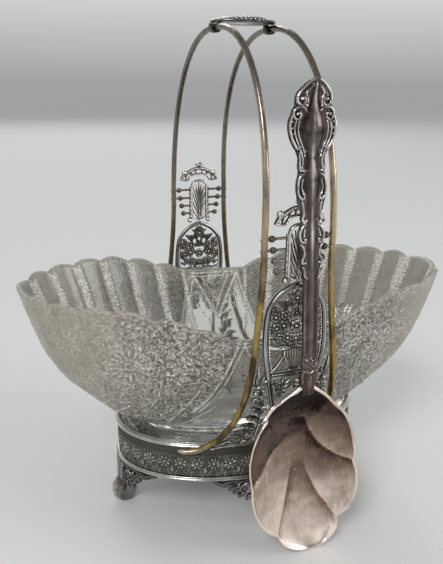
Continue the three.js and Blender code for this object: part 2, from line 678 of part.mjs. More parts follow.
function spoonBowl() {
  // rim seen from the front: [x, z], from the neck down the left side, round the tip and up
  const rim = [[1.2, 100.5], [-2.6, 96.4], [-10.3, 90.9], [-15.3, 88.9], [-17.2, 85.6], [-16.3, 81.9],
    [-23.2, 70.4], [-25.1, 58.1], [-23.2, 44.7], [-20.9, 30.0], [-14.9, 18.7], [-7.6, 12.6], [-6.0, 9.3],
    [1.5, 2.7], [10.9, 0.0], [20.1, 2.1], [25.9, 9.0], [27.0, 16.2], [33.9, 24.0], [36.5, 37.3],
    [34.0, 49.8], [32.3, 62.8], [25.3, 80.1], [15.0, 91.3], [6.2, 100.8]];
  const middle_x = 5.0;
  const middle_z = 45.0;
  const depth = 10.5;
  const metal = 1.1;
  const shares = [1, 0.92, 0.76, 0.5, 0.24];
  const ringAt = (share, back) => rim.map(([x, z]) => {
    const ring_z = lerp(middle_z, z, share);
    const sink = depth * (1 - share * share) ** 0.8;
    return [lerp(middle_x, x, share), spoonY(ring_z) + sink + back, ring_z];
  });
  const hollow = shares.map((share) => ringAt(share, 0)).reverse();
  const rear = shares.map((share) => ringAt(share, metal));
  const hollow_y = spoonY(middle_z) + depth;
  const pole = (back) => [[middle_x, hollow_y + back, middle_z]];
  return loft([pole(0), ...hollow, ...rear, pole(metal)]);
}

function spoonHandle() {
  // rows of [z, half width, half thickness]
  const rows = [[95, 3.2, 1.0], [99, 3.6, 1.3], [104, 4.6, 1.7], [108, 5.0, 1.8], [111.5, 4.4, 1.6],
    [114, 4.2, 1.4], [120, 4.2, 1.3], [132, 4.2, 1.3], [144, 4.2, 1.3], [152, 4.3, 1.3], [156, 5.4, 1.4],
    [160, 5.8, 1.5], [163.5, 5.0, 1.4], [166.5, 6.4, 1.5], [171, 7.0, 1.5], [175, 5.4, 1.4], [179, 4.6, 1.3],
    [183, 6.0, 1.3], [187, 7.2, 1.5], [192, 7.4, 1.5], [197, 6.8, 1.4], [201, 6.4, 1.4], [204.5, 6.6, 1.4],
    [208, 8.0, 1.4], [211, 9.6, 1.5], [214, 10.8, 1.6], [217.5, 11.7, 1.6], [220.5, 11.6, 1.6],
    [223.5, 10.2, 1.5], [226.5, 9.0, 1.5], [230, 9.1, 1.5], [232.5, 7.8, 1.5], [235, 5.0, 1.4],
    [237.5, 2.2, 1.0]];
  const sides = 10;
  const squarer = 0.8;
  const rings = rows.map(([z, half_width, half_thick]) => {
    const ring = [];
    for (let k = 0; k < sides; k++) {
      const angle = tau * (k + 0.5) / sides;
      const across = Math.sign(Math.cos(angle)) * Math.abs(Math.cos(angle)) ** squarer;
      const through = Math.sign(Math.sin(angle)) * Math.abs(Math.sin(angle)) ** squarer;
      ring.push([spoonX(z) + half_width * across, spoonY(z) + half_thick * through, z]);
    }
    return ring;
  });
  const pole = (z) => [[spoonX(z), spoonY(z), z]];
  return loft([pole(rows[0][0] - 0.4), ...rings, pole(spoon_top_z)]);
}
add(spoon_group, 'spoon', join(spoonBowl(), spoonHandle()), 'spoon');

// the origin is the middle of the box's floor, so the spoon in front moves the rest back a little
basket.updateMatrixWorld(true);
const box = new THREE.Box3().setFromObject(basket, true);
assembly.position.set(-(box.min.x + box.max.x) / 2, -(box.min.y + box.max.y) / 2, -box.min.z);

export default basket;
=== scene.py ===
"""Looks of an oval footed basket with wire handles, a pressed-glass bowl and a serving spoon.

The helpers work in millimetres, with x along the bowl, z up, and y = 0 in the middle of the
base's oval. The frame's own units are metres, and Shell.build converts.
"""
import math

import bmesh
import bpy
import numpy as np
from bpy.props import FloatProperty, FloatVectorProperty, PointerProperty
from mathutils import Matrix, Vector


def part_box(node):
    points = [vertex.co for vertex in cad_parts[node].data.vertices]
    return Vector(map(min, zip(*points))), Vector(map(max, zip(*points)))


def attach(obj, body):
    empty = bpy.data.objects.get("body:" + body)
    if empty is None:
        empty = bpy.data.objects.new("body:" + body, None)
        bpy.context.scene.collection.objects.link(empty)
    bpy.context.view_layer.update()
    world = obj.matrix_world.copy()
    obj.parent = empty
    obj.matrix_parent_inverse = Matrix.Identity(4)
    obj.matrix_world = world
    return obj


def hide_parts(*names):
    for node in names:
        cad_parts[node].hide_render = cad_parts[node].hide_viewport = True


bl_info = {
    "name": "Brides Basket",
    "version": (1, 0, 0),
    "blender": (4, 5, 0),
    "location": "View3D > Sidebar > Basket",
    "description": "Builds the finished look of a footed basket with a glass bowl and a spoon",
    "category": "Add Mesh",
}

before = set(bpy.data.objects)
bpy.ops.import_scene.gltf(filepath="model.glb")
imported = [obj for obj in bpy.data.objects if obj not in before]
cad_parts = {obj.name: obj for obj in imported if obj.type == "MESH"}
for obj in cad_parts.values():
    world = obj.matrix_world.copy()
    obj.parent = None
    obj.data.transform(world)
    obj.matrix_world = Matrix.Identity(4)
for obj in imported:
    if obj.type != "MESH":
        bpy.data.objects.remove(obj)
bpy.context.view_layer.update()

MM = 0.001


def node_box(name):
    """Lowest and highest corner of a CAD node, in millimetres."""
    low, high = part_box(name)
    return np.array(low) / MM, np.array(high) / MM


# sizes taken from the frame
band_low, band_high = node_box("base_band")
band_bulge = 0.25
middle_y = (band_low[1] + band_high[1]) / 2
band_a = (band_high[0] - band_low[0]) / 2 - band_bulge
band_b = (band_high[1] - band_low[1]) / 2 - band_bulge
band_low_z = band_low[2]
band_top_z = band_high[2]
foot_top_z = node_box("foot_left")[1][2]
spoon_top_z = node_box("spoon")[1][2]

# sizes of the sheet that the wires and side panels follow
sheet_out = 72.0
sheet_foot = 51.0
sheet_foot_z = 52.0
sheet_full_z = 113.0
sheet_curve_x = 76.5
handle_top_z = 262.4
handle_spring_z = 170.0
handle_power = 2.30
wire_gap_top = 30.0
wire_gap_leg = 34.4
knob_x = 9.9
knob_z = 180.0

# sizes of the bowl, with the angles of the cusps between its scallops in degrees
bowl_length = 120.5
bowl_width = 64.4
bowl_rim_z = 132.2
bowl_notch_z = 117.4
bowl_notch_half = 19.6
bowl_foot_z = 46.3
bowl_turn = math.radians(-6)
ramp_end_x = 80.0
stretch_from = 85.0
quarter_cusps = [15, 28, 40.5, 51.5, 61.5, 71, 80.2]


# arrays and meshes

def row(*values):
    """The values as an array of floats."""
    return np.array(values, float)


def turns(count):
    """Angles of a full turn in even steps."""
    return np.arange(count) * 2 * math.pi / count


def fade(x, start, end):
    """Straight from 0 at the start to 1 at the end, and level beyond both."""
    return np.clip((x - start) / (end - start), 0, 1)


def bell(x, middle, width):
    """1 in the middle, falling off smoothly on both sides."""
    return np.exp(-((x - middle) / width) ** 2)


def smooth_path(points, step, measured=3):
    """A smooth curve through the points, resampled at about the step. Columns beyond the
    measured ones, such as a width, are carried along."""
    p = np.asarray(points, float)
    q = np.vstack([2 * p[0] - p[1], p, 2 * p[-1] - p[-2]])
    out = []
    for before, here, after, beyond in zip(q, q[1:], q[2:], q[3:]):
        count = max(2, int(np.linalg.norm((after - here)[:measured]) / step))
        b = after - before
        c = 2 * before - 5 * here + 4 * after - beyond
        d = -before + 3 * here - 3 * after + beyond
        for t in np.arange(count) / count:
            out.append(0.5 * (2 * here + b * t + c * t * t + d * t ** 3))
    out.append(p[-1])
    return np.array(out)


def grid_faces(rows, columns, closed_rows=False, closed_columns=False):
    """Four-sided faces over a grid of points laid out row by row."""
    i = np.arange(rows if closed_rows else rows - 1)[:, None]
    j = np.arange(columns if closed_columns else columns - 1)[None, :]
    a = i * columns + j
    b = i * columns + (j + 1) % columns
    c = ((i + 1) % rows) * columns + (j + 1) % columns
    d = ((i + 1) % rows) * columns + j
    return np.stack([a, b, c, d], -1).reshape(-1, 4)


class Shell:
    """Gathers points and faces for one piece, with how high each point stands in its relief."""

    def __init__(self):
        self.points = []
        self.faces = []
        self.relief = []
        self.count = 0

    def add(self, points, faces, relief=1.0):
        """Adds points, and arrays of faces that count from the first of them."""
        points = np.asarray(points, float).reshape(-1, 3)
        for group in faces:
            self.faces += (group + self.count).tolist()
        self.points.append(points)
        self.relief.append(np.broadcast_to(relief, len(points)).astype(float))
        self.count += len(points)

    def grid(self, points, closed_rows=False, closed_columns=True, relief=1.0, caps=False):
        """Adds a grid of points; caps close its first and last row with a fan of triangles."""
        rows, columns = points.shape[:2]
        faces = [grid_faces(rows, columns, closed_rows, closed_columns)]
        flat = points.reshape(-1, 3)
        relief = np.broadcast_to(relief, (rows, columns)).ravel()
        if caps:
            flat = np.vstack([flat, points[0].mean(0), points[-1].mean(0)])
            relief = np.append(relief, [1.0, 1.0])
            j = np.arange(columns)
            k = (j + 1) % columns
            first = np.full(columns, rows * columns)
            top = (rows - 1) * columns
            faces.append(np.stack([first, k, j], -1))
            faces.append(np.stack([first + 1, top + j, top + k], -1))
        self.add(flat, faces, relief)

    def rod(self, points, radii, sides, relief):
        """A round bar along the points."""
        p = np.asarray(points, float)
        ahead = np.gradient(p, axis=0)
        ahead /= np.linalg.norm(ahead, axis=1)[:, None]
        side = row(0, 0, 1) if abs(ahead[0][0]) > 0.9 else row(1, 0, 0)
        angle = turns(sides)
        rings = []
        for here, along, radius in zip(p, ahead, radii):
            side = side - along * side.dot(along)
            side /= np.linalg.norm(side)
            across = np.outer(np.cos(angle), side) + np.outer(np.sin(angle), np.cross(along, side))
            rings.append(here + across * radius)
        self.grid(np.array(rings), relief=relief, caps=True)

    def hoop(self, centre, radius, half, relief):
        """A level ring of round wire; half is half the wire's thickness."""
        turn = turns(24)[:, None]
        small = turns(8)[None, :]
        out = radius + half * np.cos(small)
        up = np.broadcast_to(half * np.sin(small), (24, 8))
        ring = np.stack([out * np.cos(turn), out * np.sin(turn), up], -1) + centre
        self.grid(ring, closed_rows=True, relief=relief)

    def ball(self, centre, radius, sides, relief, squash=(1, 1, 1)):
        """A ball, or with squash a flattened one."""
        rings = sides // 2
        up = (np.arange(rings) + 0.5) / rings * math.pi
        angle = turns(sides)
        x = np.outer(np.sin(up), np.cos(angle))
        y = np.outer(np.sin(up), np.sin(angle))
        z = np.outer(np.cos(up), np.ones(sides))
        self.grid(np.stack([x, y, z], -1) * radius * row(*squash) + row(*centre), relief=relief, caps=True)

    def build(self, name, material, body="base", slot="cast_silver", replaces=(), extra=None):
        """Makes the object in the frame, in metres, riding on its body."""
        points = np.vstack(self.points) + row(0, middle_y, 0)
        mesh = bpy.data.meshes.new(name)
        mesh.from_pydata((points * MM).tolist(), [], self.faces)
        editable = bmesh.new()
        editable.from_mesh(mesh)
        bmesh.ops.recalc_face_normals(editable, faces=editable.faces)
        editable.to_mesh(mesh)
        editable.free()
        attributes = {"relief": np.concatenate(self.relief), **(extra or {})}
        for key, values in attributes.items():
            layer = mesh.attributes.new(key, "FLOAT", "POINT")
            layer.data.foreach_set("value", np.asarray(values, np.float32).ravel())
        mesh.shade_smooth()
        mesh.materials.append(material)
        piece = bpy.data.objects.new(name, mesh)
        bpy.context.scene.collection.objects.link(piece)
        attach(piece, body)
        if replaces:
            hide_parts(*replaces)
        return piece


class Relief:
    """Cast or rolled ornament over a flat field: how high each point stands, and how far it is
    inside the nearest edge. Places on the field are (x, z) in millimetres."""

    def __init__(self, x_range, z_range, step):
        self.step = step
        self.side = 1
        self.x = np.arange(x_range[0], x_range[1] + step / 2, step)
        self.z = np.arange(z_range[0], z_range[1] + step / 2, step)
        self.gx, self.gz = np.meshgrid(self.x, self.z)
        self.inside = np.full(self.gx.shape, -2.0)
        self.height = np.zeros(self.gx.shape)

    def both_sides(self):
        """Runs the loop's body for the right, then once more with all that it draws mirrored."""
        for side in (1, -1):
            self.side = side
            yield side
        self.side = 1

    def window(self, low, high):
        """Slices of the grid between two corners."""
        j = np.searchsorted(self.x, [low[0], high[0]])
        i = np.searchsorted(self.z, [low[1], high[1]])
        return slice(i[0], i[1] + 1), slice(j[0], j[1] + 1)

    def blend(self, window, distance, half, height, power=0.5):
        """Raises a rounded form wherever it stands higher than what is there."""
        half = np.maximum(half, 1e-6)
        inside = half - distance
        share = np.clip(distance / half, 0, 1)
        dome = np.where(inside > 0, height * (1 - share ** 2) ** power, 0)
        self.inside[window] = np.maximum(self.inside[window], inside)
        self.height[window] = np.maximum(self.height[window], dome)

    def stroke(self, points, half, height, power=0.5, cut=False):
        """A rounded ridge along the points; half is half its width, one value or one a point."""
        p = np.asarray(points, float) * row(self.side, 1)
        halves = np.broadcast_to(half, len(p)).astype(float)
        widest = halves.max()
        for a, b, ha, hb in zip(p[:-1], p[1:], halves[:-1], halves[1:]):
            reach = max(ha, hb) + 2 * self.step
            window = self.window(np.minimum(a, b) - reach, np.maximum(a, b) + reach)
            x = self.gx[window] - a[0]
            z = self.gz[window] - a[1]
            d = b - a
            along = np.clip((x * d[0] + z * d[1]) / max(d @ d, 1e-9), 0, 1)
            distance = np.hypot(x - along * d[0], z - along * d[1])
            here = ha + (hb - ha) * along
            tall = height * np.sqrt(here / widest)
            if cut:
                share = np.clip(distance / np.maximum(here, 1e-6), 0, 1)
                self.height[window] -= tall * (1 - share ** 2) * (self.height[window] > tall * 0.5)
            else:
                self.blend(window, distance, here, tall, power)

    def curve(self, points, half, height, power=0.5):
        """A stroke along a smooth curve; half may have one value for each given point."""
        p = np.asarray(points, float)
        halves = np.broadcast_to(half, len(p)).astype(float)
        fine = smooth_path(np.column_stack([p, halves]), 0.6, measured=2)
        self.stroke(fine[:, :2], np.maximum(fine[:, 2], 0.02), height, power)

    def column(self, rows, height):
        """A solid upright shape given as rows of (z, half width)."""
        z, half = np.asarray(rows, float).T
        wide = np.interp(self.gz, z, half, left=-1, right=-1)
        inside = np.minimum(wide - np.abs(self.gx), 3)
        share = np.clip(np.abs(self.gx) / np.maximum(wide, 0.1), 0, 1)
        dome = np.where(inside > 0, height * np.sqrt(1 - share ** 4), 0)
        self.inside = np.maximum(self.inside, inside)
        self.height = np.maximum(self.height, dome)

    def disc(self, x, z, radius, height):
        """A round boss."""
        x = self.side * x
        reach = radius + 1
        window = self.window((x - reach, z - reach), (x + reach, z + reach))
        distance = np.hypot(self.gx[window] - x, self.gz[window] - z)
        self.blend(window, distance, radius, height)

    def discs(self, places, radius, height):
        """Round bosses of one size."""
        for x, z in places:
            self.disc(x, z, radius, height)

    def ring(self, x, z, radius, half, height):
        """A ridge in a circle."""
        turn = np.linspace(0, 2 * math.pi, 25)
        self.stroke(np.column_stack([x + radius * np.cos(turn), z + radius * np.sin(turn)]), half, height)

    def leaf(self, base, tip, half, height, bend=0.0, vein=True):
        """A pointed leaf from base to tip, its middle line bent sideways by bend."""
        base = row(*base)
        tip = row(*tip)
        t = np.linspace(0, 1, 12)
        across = row(-(tip - base)[1], (tip - base)[0])
        line = base + np.outer(t, tip - base) + np.outer(4 * t * (1 - t) * bend, across)
        width = half * np.sin(math.pi * (0.06 + 0.94 * t) ** 0.75) + 0.12
        self.stroke(line, width, height)
        if vein:
            self.stroke(line[1:-1], 0.16, height * 0.45, cut=True)

    def flower(self, x, z, radius, petals, height, turn=0.0, eye=0.3):
        """Rounded petals round an eye, each with a short groove."""
        broad = radius * 0.95 * math.sin(math.pi / petals)
        for angle in turn + turns(petals):
            away = row(math.cos(angle), math.sin(angle))
            near = row(x, z) + away * radius * 0.3
            far = row(x, z) + away * radius
            middle = (near + far) / 2
            self.stroke([near, middle, far - away * broad * 0.7], row(0.5, 0.9, 1) * broad, height)
            self.stroke([near, middle], 0.13, height * 0.5, cut=True)
        self.disc(x, z, radius * eye, height * 1.25)

    def scroll(self, x, z, radius, rounds, start, half, height, hand=1):
        """A curl that winds inward from its outer end, from the start angle in degrees."""
        shrink = 0.16
        t = np.linspace(0, 1, int(18 * rounds) + 2)
        r = radius * (1 - (1 - shrink) * t ** 0.8)
        angle = math.radians(start) + hand * t * rounds * 2 * math.pi
        line = np.column_stack([x + r * np.cos(angle), z + r * np.sin(angle)])
        self.stroke(line, half * (1 - 0.45 * t), height)
        self.disc(x, z, max(radius * shrink * 1.5, half * 0.9), height * 1.05)

    def rubbed(self, reach=0.9):
        """From 0 in the grooves to 1 on the crests, by how far a point stands above those near it."""
        n = max(1, int(reach / self.step))
        around = self.height
        for axis in (0, 1):
            around = sum(np.roll(around, k, axis) for k in range(-n, n + 1)) / (2 * n + 1)
        top = self.height.max()
        return np.clip(0.22 + 0.38 * self.height / top + 1.5 * (self.height - around) / top, 0, 1)

    def sample(self, x, z, values=None):
        """Height, or other values, at any places: straight-line between grid points, 0 outside."""
        j = (np.asarray(x) - self.x[0]) / self.step
        i = (np.asarray(z) - self.z[0]) / self.step
        ok = (j >= 0) & (j < len(self.x) - 1) & (i >= 0) & (i < len(self.z) - 1)
        j = np.clip(j, 0, len(self.x) - 1.001)
        i = np.clip(i, 0, len(self.z) - 1.001)
        j0 = j.astype(int)
        i0 = i.astype(int)
        fj = j - j0
        fi = i - i0
        h = self.height if values is None else values
        low = h[i0, j0] * (1 - fj) + h[i0, j0 + 1] * fj
        high = h[i0 + 1, j0] * (1 - fj) + h[i0 + 1, j0 + 1] * fj
        return np.where(ok, low * (1 - fi) + high * fi, 0)

    def trim(self):
        """The part of the grid inside the edge: points (x, z, height, rubbed) and faces."""
        keep = self.inside > 0
        rows, columns = keep.shape
        count = keep.sum()
        index = np.full(keep.shape, -1)
        index[keep] = np.arange(count)
        points = [np.column_stack([self.gx[keep], self.gz[keep], self.height[keep], self.rubbed()[keep]])]

        def crossings(a, b, shape):
            """Numbers of the points where the edge crosses the lines from the grid's a to its b."""
            nonlocal count
            table = np.full(shape, -1)
            mixed = keep[a] != keep[b]
            table[mixed] = count + np.arange(mixed.sum())
            ia = self.inside[a][mixed]
            ib = self.inside[b][mixed]
            t = np.clip(ia / (ia - ib), 0.02, 0.98)
            x = self.gx[a][mixed] * (1 - t) + self.gx[b][mixed] * t
            z = self.gz[a][mixed] * (1 - t) + self.gz[b][mixed] * t
            points.append(np.column_stack([x, z, np.zeros(len(x)), np.full(len(x), 0.15)]))
            count += mixed.sum()
            return table

        every = slice(None)
        before = slice(None, -1)
        after = slice(1, None)
        across = crossings((every, before), (every, after), (rows, columns - 1))
        upward = crossings((before, every), (after, every), (rows - 1, columns))
        corners = (before, before), (before, after), (after, after), (after, before)
        edge = [across[:-1], upward[:, 1:], across[1:], upward[:, :-1]]
        code = sum(keep[corner] * 2 ** k for k, corner in enumerate(corners))
        faces = []
        for case in range(1, 16):
            cells = code == case
            if not cells.any():
                continue
            outline = []
            for k in range(4):
                if case >> k & 1:
                    outline.append(index[corners[k]][cells])
                if (case >> k & 1) != (case >> (k + 1) % 4 & 1):
                    outline.append(edge[k][cells])
            faces.append(np.stack(outline, -1))
        return np.vstack(points), faces

    def casting(self, shell, place, front=1.0, back=0.75, core=0.1):
        """Adds the ornament to a shell as a closed casting. place maps x, z and outward distance."""
        flat, faces = self.trim()
        x, z, h, relief = flat.T
        lift = np.where(h <= 0, 0, h + core)
        shell.add(place(x, z, lift * front), faces, relief)
        shell.add(place(x, z, -lift * back), [group[:, ::-1] for group in faces], relief)


def oval_point(angle, out, a=band_a, b=band_b):
    """Points on an oval, moved outward along its normal."""
    c = np.cos(angle)
    s = np.sin(angle)
    n = np.hypot(b * c, a * s)
    return a * c + out * b * c / n, b * s + out * a * s / n


oval_steps = np.linspace(0, 2 * math.pi, 2881)
oval_x, oval_y = oval_point(oval_steps, 0)
oval_arc = np.concatenate([[0], np.cumsum(np.hypot(np.diff(oval_x), np.diff(oval_y)))])
oval_length = oval_arc[-1]


def oval_angle(arc):
    """Angle on the band's oval at a distance along it."""
    return np.interp(np.mod(arc, oval_length), oval_arc, oval_steps)


def on_oval(angle, out, z):
    """Places outward of the band's oval, at the height z."""
    x, y = oval_point(angle, out)
    return np.stack([x, y, np.broadcast_to(z, x.shape)], -1)


def sheet(x, z):
    """How far from the middle the leaning sheet of wires and panels stands."""
    rise = sheet_foot + (sheet_out - sheet_foot) * np.sin(fade(z, sheet_foot_z, sheet_full_z) * math.pi / 2)
    drop = sheet_foot * (1 - np.sqrt(np.maximum(0, 1 - (x / sheet_curve_x) ** 2)))
    return rise - drop * fade(z, 80, 55)


def on_sheet(side, x_side=1):
    """Maps ornament to the front sheet (side -1) or the back one, mirrored where x_side is -1."""
    return lambda x, z, out: np.column_stack([x_side * x, side * (sheet(x, z) + out), z])


# shader maths as Python expressions

class Value:
    """A shader socket that can be used in an expression with numbers and other sockets."""

    tree = None

    def __init__(self, socket):
        self.socket = socket

    @classmethod
    def math(cls, operation, *inputs):
        """A sum, a product or another function of numbers and sockets."""
        return cls.node("ShaderNodeMath", {"operation": operation}, dict(enumerate(inputs)))

    @classmethod
    def node(cls, kind, settings=None, inputs=None, output=0):
        """Adds a node: settings are set first, then its sockets are filled or linked."""
        made = cls.tree.nodes.new(kind)
        for key, value in (settings or {}).items():
            setattr(made, key, value)
        for key, value in (inputs or {}).items():
            if isinstance(value, Value):
                cls.tree.links.new(value.socket, made.inputs[key])
            else:
                made.inputs[key].default_value = value
        return cls(made.outputs[output])

    def __add__(self, other):
        return Value.math("ADD", self, other)

    def __sub__(self, other):
        return Value.math("SUBTRACT", self, other)

    def __mul__(self, other):
        return Value.math("MULTIPLY", self, other)

    def __radd__(self, other):
        return Value.math("ADD", other, self)

    def __rsub__(self, other):
        return Value.math("SUBTRACT", other, self)

    def __rmul__(self, other):
        return Value.math("MULTIPLY", other, self)

    def clamp(self):
        """Kept between 0 and 1."""
        return Value.node("ShaderNodeClamp", inputs={0: self})

    def stops(self, *places):
        """Colours, or greys given as one number, blended between places along the value."""
        ramp = Value.node("ShaderNodeValToRGB", inputs={0: self})
        elements = ramp.socket.node.color_ramp.elements
        while len(elements) < len(places):
            elements.new(1.0)
        for element, (place, colour) in zip(elements, places):
            element.position = place
            element.color = (*colour, 1.0) if isinstance(colour, tuple) else (colour, colour, colour, 1.0)
        return ramp

    def surface(self, kind="Material"):
        """Links a finished shader to the tree's output."""
        out = Value.tree.nodes.new("ShaderNodeOutput" + kind)
        Value.tree.links.new(self.socket, out.inputs["Surface"])


def colour_mix(factor, first, second, blend="MIX"):
    """Mixes two colours or colour sockets."""
    first = first if isinstance(first, Value) else (*first, 1.0)
    second = second if isinstance(second, Value) else (*second, 1.0)
    settings = {"data_type": "RGBA", "blend_type": blend}
    return Value.node("ShaderNodeMix", settings, {0: factor, 6: first, 7: second}, output=2)


def attribute(name):
    """A value that is stored at the mesh's points."""
    return Value.node("ShaderNodeAttribute", {"attribute_name": name}, output="Fac")


def position():
    """The place on the object, in metres."""
    return Value.node("ShaderNodeTexCoord", output="Object")


def noise(scale, detail=4.0, roughness=0.55, distortion=0.0, stretch=None):
    """Soft noise around 0.5; a small number in stretch draws it out along that axis."""
    at = position()
    if stretch:
        at = Value.node("ShaderNodeMapping", inputs={"Vector": at, "Scale": stretch})
    inputs = {"Vector": at, "Scale": scale, "Detail": detail, "Roughness": roughness,
              "Distortion": distortion}
    return Value.node("ShaderNodeTexNoise", inputs=inputs)


def winding(scale, width):
    """Thin lines that wander, as in crackled glass."""
    level = Value.math("ABSOLUTE", noise(scale, 2, 0.5, 0.4) - 0.5)
    return level.stops((0.0, 1.0), (width, 0.0))


def bump(height, distance, strength):
    """Tilts the surface by a height, over a distance in millimetres."""
    inputs = {"Height": height, "Distance": distance * MM, "Strength": strength}
    return Value.node("ShaderNodeBump", inputs=inputs)


def principled(**sockets):
    """The standard surface, with underscores for the spaces in its sockets' names."""
    inputs = {key.replace("_", " "): value for key, value in sockets.items()}
    return Value.node("ShaderNodeBsdfPrincipled", inputs=inputs)


def new_material(name):
    """An empty node material, with Value set to write into it."""
    material = bpy.data.materials.new(name)
    material.use_nodes = True
    material.node_tree.nodes.clear()
    Value.tree = material.node_tree
    return material


# finishes

def colours():
    """The colours set in the scene."""
    return bpy.context.scene.basket_colours


def tarnished(name, metal, rough=(0.2, 0.5), fleck=0.25, stained=0.6):
    """Old plated metal: dark in the hollows, rubbed bright on the peaks, mottled in between."""
    material = new_material(name)
    hollow, mid, light = metal
    fine = noise(420, 6, 0.65)
    # on the feet the relief attribute also holds the highlight and shade painted on the toes
    wear_and_painted_light = (attribute("relief") + (noise(55, 5, 0.6) - 0.5) * 0.7 + (fine - 0.5) * fleck).clamp()
    base = colour_mix(wear_and_painted_light.stops((0.12, 0.0), (0.5, 1.0)), hollow, mid)
    base = colour_mix(wear_and_painted_light.stops((0.5, 0.0), (0.9, 1.0)), base, light)
    stain = noise(30, 4, 0.6, 0.6).stops((0.5, 0.0), (0.75, stained))
    base = colour_mix(stain, base, colours().tarnish)
    roughness = rough[1] - (rough[1] - rough[0]) * wear_and_painted_light + (fine - 0.5) * 0.12
    normal = bump(fine * 0.6 + noise(900, 3, 0.7) * 0.4, 0.06, 0.7)
    principled(Base_Color=base, Roughness=roughness.clamp(), Metallic=1.0, Normal=normal).surface()
    return material


def spoon_finish():
    """Pink-brown silver with hairline scratches, stains and rubbed edges; greyer on the handle."""
    material = new_material("spoon_silver")
    look = colours()
    relief = attribute("relief")
    upper = attribute("upper")
    mottle = noise(210, 4, 0.6)
    hairs = noise(1500, 3, 0.7, stretch=(1.0, 1.0, 0.05))
    blotch = noise(48, 5, 0.6, 0.4)
    # the relief attribute holds the spoon's wear and also its painted light, highlights and shade
    wear_and_painted_light = (relief + (blotch - 0.5) * 0.5 + (mottle - 0.5) * 0.35 + (hairs - 0.5) * 0.3).clamp()
    middle = colour_mix(upper, look.spoon_mid, look.spoon_grey)
    peaks = colour_mix(upper, look.spoon_light, look.cast_light)
    base = colour_mix(wear_and_painted_light.stops((0.05, 0.0), (0.45, 1.0)), look.spoon_hollow, middle)
    base = colour_mix(wear_and_painted_light.stops((0.45, 0.0), (0.9, 1.0)), base, peaks)
    stain = noise(30, 4, 0.6, 0.6).stops((0.5, 0.0), (0.72, 0.6)) * (1 - upper * 0.6)
    base = colour_mix(stain, base, look.spoon_stain)
    streaks = noise(330, 3, 0.6, stretch=(1.0, 1.0, 0.1)).stops((0.58, 0.0), (0.7, 1.0)) * (1 - upper)
    patches = noise(75, 3, 0.5).stops((0.42, 0.0), (0.6, 1.0)) * relief.stops((0.3, 0.0), (0.6, 0.8))
    base = colour_mix(streaks * patches, base, look.spoon_light)
    roughness = 0.24 - wear_and_painted_light * 0.08 - upper * 0.07 + (hairs - 0.5) * 0.25 + (mottle - 0.5) * 0.12
    normal = bump(hairs * 0.6 + mottle * 0.4, 0.05, 0.7)
    principled(Base_Color=base, Roughness=roughness.clamp(), Metallic=1.0, Normal=normal).surface()
    return material


def wire_finish():
    """Gilt wire gone grey and brown with wear towards the top, with painted shade at the top and back."""
    material = new_material("worn_gilt_wire")
    look = colours()
    mottle = noise(90, 6, 0.7, 0.4, stretch=(1.0, 1.0, 0.3))
    fine = noise(600, 4, 0.6)
    gilt = colour_mix(mottle.stops((0.4, 0.0), (0.56, 1.0)), look.wire_dark, look.wire_gilt)
    grey = colour_mix(mottle.stops((0.35, 0.0), (0.65, 1.0)), look.wire_brown, look.wire_grey)
    base = colour_mix(attribute("relief"), gilt, grey)
    # painted shade at the top and the back
    base = colour_mix(attribute("painted_shade"), base, look.wire_painted_shade)
    specks = noise(260, 5, 0.7).stops((0.62, 0.0), (0.7, 0.8))
    base = colour_mix(specks, base, look.wire_dark)
    roughness = 0.17 + mottle * 0.2 + (fine - 0.5) * 0.15
    normal = bump(fine * 0.5 + mottle * 0.5, 0.12, 0.6)
    principled(Base_Color=base, Roughness=roughness.clamp(), Metallic=1.0, Normal=normal).surface()
    return material


def dish_finish():
    """Bright plate with a light bloom and hairlines along the bowl."""
    material = new_material("polished_dish")
    look = colours()
    broad = noise(26, 4, 0.55, 0.5)
    hairs = noise(1100, 3, 0.6, stretch=(1.0, 0.25, 1.0))
    base = colour_mix(broad.stops((0.4, 0.0), (0.7, 1.0)), look.dish_light, look.dish_dark)
    roughness = 0.05 + broad * 0.1 + (hairs - 0.5) * 0.03
    normal = bump(hairs, 0.004, 0.3)
    principled(Base_Color=base, Roughness=roughness.clamp(), Metallic=1.0, Normal=normal).surface()
    return material


def glass_finish():
    """Pressed glass: clear where it is fire-polished, stippled and frosted in its pattern."""
    material = new_material("pressed_glass")
    look = colours()
    frost = attribute("frost")
    across = Value.node("ShaderNodeSeparateXYZ", inputs={0: position()})
    busy = Value.math("ABSOLUTE", across).stops((0.058, 1.0), (0.09, 0.4)) * frost
    lines = Value.math("MAXIMUM", winding(300, 0.034), winding(520, 0.03)) * busy
    cells = Value.node("ShaderNodeTexVoronoi", inputs={"Vector": position(), "Scale": 520.0})
    pits = cells.stops((0.12, 0.0), (0.5, 1.0)) * busy
    cloud = noise(90, 3, 0.6).stops((0.35, 0.0), (0.65, 1.0))
    relief = attribute("relief") * noise(620, 3, 0.6).stops((0.4, 0.35), (0.56, 1.0))
    milky = colour_mix(cloud * 0.35 * frost, look.glass_frost, look.glass_bright)
    # painted shade in the pits, then painted highlights on the crackle lines and the raised ridges
    milky = colour_mix((pits * 1.1).clamp(), milky, look.glass_shade)
    milky = colour_mix((lines * 1.1 + relief * 0.85).clamp(), milky, look.glass_bright)
    base = colour_mix(frost * 0.6, look.glass_clear, look.glass_frost)
    height = lines * 0.5 + relief * 0.4 + noise(1300, 3, 0.65) * frost * 0.25 - pits * 0.4
    normal = bump(height, 0.5, 0.9)
    clear = principled(Base_Color=base, Roughness=(0.04 + frost * 0.26).clamp(), Transmission_Weight=1.0,
                       IOR=1.5, Normal=normal)
    frosting = principled(Base_Color=milky, Roughness=(0.24 + pits * 0.2).clamp(), Normal=normal)
    seen = (frost * 0.72 + lines * 0.25 + relief * frost * 0.4).clamp()
    Value.node("ShaderNodeMixShader", inputs={0: seen, 1: clear, 2: frosting}).surface()
    return material


